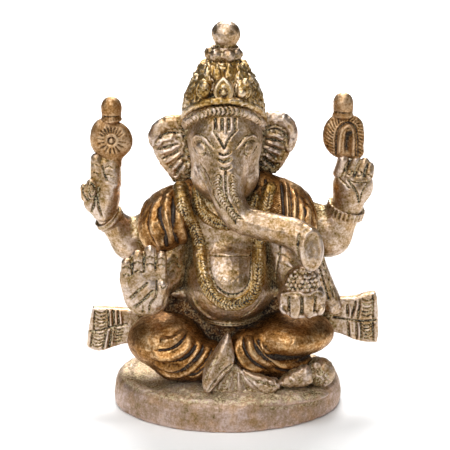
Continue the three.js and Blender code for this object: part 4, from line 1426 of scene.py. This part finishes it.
def creases_and_edges(clay, low, near, wide):
    """From 0 to 1: how deep in a crease each point lies, with painted shade where other metal closes it in,
    and how far it stands out on an edge.
    """
    normals = clay.normals()
    narrow, deep = sunken(clay, normals)
    # Painted shade: how closed in a point is by nearby metal, read from the fullness grid, darkens it as if
    # in that metal's shadow.
    closed = 0.8 * read_grid(near, low, clay.points + 1.4 * normals)
    closed += read_grid(wide, low, clay.points + 3 * normals)
    crease_and_shade = np.clip(4 * narrow + 2.5 * deep, 0, 1) + 0.65 * np.clip(closed - 0.22, 0, 1)
    edge = clay.averaged(-4 * narrow - 2 * deep)
    return np.clip(np.maximum(crease_and_shade, clay.dirt_and_shade), 0, 1), np.clip(edge, 0, 1)


def thin(made):
    """Drops the triangles that flat ground doesn't need, so that only THINNED of them are left."""
    made.modifiers.new("thin", "DECIMATE").ratio = THINNED
    with bpy.context.temp_override(object=made, active_object=made):
        bpy.ops.object.modifier_apply(modifier="thin")


def make_object(clay, room):
    """The finished piece in place of its CAD nodes. Room is what fullness gives."""
    mesh = bpy.data.meshes.new(clay.name)
    mesh.from_pydata((clay.points * MM).tolist(), [], clay.faces.tolist())
    for name, values in zip(("crease_and_shade", "edge"), creases_and_edges(clay, *room)):
        mesh.attributes.new(name, "FLOAT", "POINT").data.foreach_set("value", values.astype(np.float32))
    mesh.shade_smooth()
    mesh.materials.append(clay.material)
    made = bpy.data.objects.new(clay.name, mesh)
    bpy.context.scene.collection.objects.link(made)
    thin(made)
    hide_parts(*clay.nodes)
    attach(made, "root")


# ---- The figurine --------------------------------------------------------------------------------------

SKIN_COLOURS = [
    (0.02, 0.01, 0.003), (0.095, 0.052, 0.016), (0.27, 0.175, 0.068), (0.44, 0.31, 0.2),
    (0.68, 0.55, 0.46),
]
CLOTH_COLOURS = [
    (0.02, 0.007, 0.002), (0.09, 0.034, 0.008), (0.21, 0.096, 0.025), (0.36, 0.185, 0.065),
    (0.68, 0.46, 0.25),
]
GILT_COLOURS = [
    (0.02, 0.009, 0.002), (0.1, 0.046, 0.01), (0.28, 0.155, 0.036), (0.46, 0.3, 0.11),
    (0.72, 0.58, 0.42),
]
HELD_COLOURS = [
    (0.02, 0.009, 0.003), (0.1, 0.046, 0.013), (0.23, 0.12, 0.04), (0.36, 0.205, 0.09),
    (0.6, 0.42, 0.26),
]
PLINTH_COLOURS = [
    (0.03, 0.018, 0.008), (0.15, 0.1, 0.045), (0.35, 0.25, 0.14), (0.45, 0.315, 0.23),
    (0.62, 0.48, 0.42),
]
SKIN = brass("worn_skin_brass", SKIN_COLOURS, rough=0.36, dust=0.65)
DUSTY = brass("dusty_skin_brass", SKIN_COLOURS, rough=0.5, dust=0.9, soot_and_shade=0.25)
CLOTH = brass("bronze_cloth_brass", CLOTH_COLOURS, rough=0.38, dust=0.1, soot_and_shade=1.05)
# Painted shade: the lap under the belly takes the cloth colours with its creases pushed darker.
SHADED_LAP = brass("shaded_lap_brass", CLOTH_COLOURS, rough=0.5, dust=0.3, soot_and_shade=1.15)
GILT = brass("gilt_brass", GILT_COLOURS, rough=0.36)
HELD = brass("held_bronze", HELD_COLOURS, rough=0.48, dust=0.2)
PLINTH = brass("plinth_brass", PLINTH_COLOURS, rough=0.55, dust=0.9, soot_and_shade=0.15)

# The garland, the necklace and the sash come after what they lie on.
FEET_MAKERS = [mouse, front_pleats, right_foot, left_foot]
BODY_MAKERS = [torso, waist_sash, right_scarf_end, left_scarf_end, left_scarf_tail]
HEAD_MAKERS = [face, right_ear, left_ear, brow_band, crown_collar, crown_finial]
ARM_MAKERS = [rear_right_arm, rear_left_arm, front_right_arm, front_left_arm]
ARM_MAKERS += [rear_right_bracelet, rear_left_bracelet]
HAND_MAKERS = [rear_right_hand, rear_left_hand, right_palm, sweet_bowl, left_bowl_hand]
CLOTH_MAKERS = [right_leg, left_leg, right_shawl, left_shawl, back_shawl]
GILT_MAKERS = [crown, crown_brim, crown_petals, crown_front_medallion, crown_right_medallion]
GILT_MAKERS += [crown_left_medallion, necklace, garland]
HELD_MAKERS = [disc, disc_knob, conch, conch_knob]

for makers, material, slot in (
    ([plinth], PLINTH, "plinth_brass"),
    (FEET_MAKERS, DUSTY, "skin_brass"),
    (BODY_MAKERS + HEAD_MAKERS + ARM_MAKERS + HAND_MAKERS, SKIN, "skin_brass"),
    ([hips], SHADED_LAP, "cloth_bronze"),
    (CLOTH_MAKERS, CLOTH, "cloth_bronze"),
    (GILT_MAKERS, GILT, "gilt_brass"),
    (HELD_MAKERS, HELD, "held_bronze"),
):
    for maker in makers:
        maker().finish(material, slot)

room = fullness()
for clay in PIECES:
    make_object(clay, room)


# ---- Floor, light and camera -----------------------------------------------------------------------------

def floor():
    """A plain pale floor."""
    mesh = bpy.data.meshes.new("floor")
    mesh.from_pydata([(-3, -3, 0), (3, -3, 0), (3, 3, 0), (-3, 3, 0)], [], [(0, 1, 2, 3)])
    made = bpy.data.objects.new("floor", mesh)
    material = bpy.data.materials.new("pale_floor")
    material.use_nodes = True
    shader = material.node_tree.nodes["Principled BSDF"]
    shader.inputs["Base Color"].default_value = (0.9, 0.9, 0.9, 1)
    shader.inputs["Roughness"].default_value = 0.9
    mesh.materials.append(material)
    bpy.context.scene.collection.objects.link(made)


def facing(made, place, target):
    """Puts a light or a camera at a place, in metres, turned towards its target."""
    made.location = place
    made.rotation_euler = (Vector(target) - Vector(place)).to_track_quat("-Z", "Y").to_euler()
    bpy.context.scene.collection.objects.link(made)


def softbox(name, place, size, power, target=(0, 0, 0.045)):
    """A round soft light, size metres across."""
    light = bpy.data.lights.new(name, "AREA")
    light.shape = "DISK"
    light.size = size
    light.energy = power
    facing(bpy.data.objects.new(name, light), place, target)


def surround(side, top):
    """Light from all round, of strength side at the horizon and top overhead."""
    world = bpy.data.worlds.new("surround")
    world.use_nodes = True
    tree = world.node_tree
    place = tree.nodes.new("ShaderNodeTexCoord").outputs["Generated"]
    split = tree.nodes.new("ShaderNodeSeparateXYZ")
    level = tree.nodes.new("ShaderNodeMapRange")
    tree.links.new(place, split.inputs[0])
    tree.links.new(split.outputs["Z"], level.inputs["Value"])
    level.inputs["To Min"].default_value = side
    level.inputs["To Max"].default_value = top
    tree.links.new(level.outputs[0], tree.nodes["Background"].inputs["Strength"])
    bpy.context.scene.world = world


def camera():
    """Straight in front, a little above, aimed at the figurine's middle."""
    elevation, distance, target = math.radians(17), 0.45, (-0.0006, 0, 0.0425)
    lens = bpy.data.cameras.new("camera")
    lens.sensor_width = 36
    lens.lens = 158.24
    lens.clip_start = 0.01
    made = bpy.data.objects.new("camera", lens)
    back, up = distance * math.cos(elevation), distance * math.sin(elevation)
    facing(made, (target[0], -back, target[2] + up), target)
    bpy.context.scene.camera = made


floor()
softbox("overhead", (-0.1, -0.2, 0.7), size=0.8, power=4.4)
softbox("front_box", (-0.15, -0.7, 0.4), size=0.4, power=2)
softbox("left_box", (-0.5, -0.25, 0.3), size=0.3, power=0.4)
softbox("right_box", (0.55, -0.15, 0.3), size=0.3, power=0.4)
softbox("backdrop", (0, 0.7, 0.7), size=0.6, power=16, target=(0, 0.75, 0))  # whitens the floor behind
surround(side=0.08, top=0.5)
bpy.context.scene.view_settings.view_transform = "Standard"
camera()
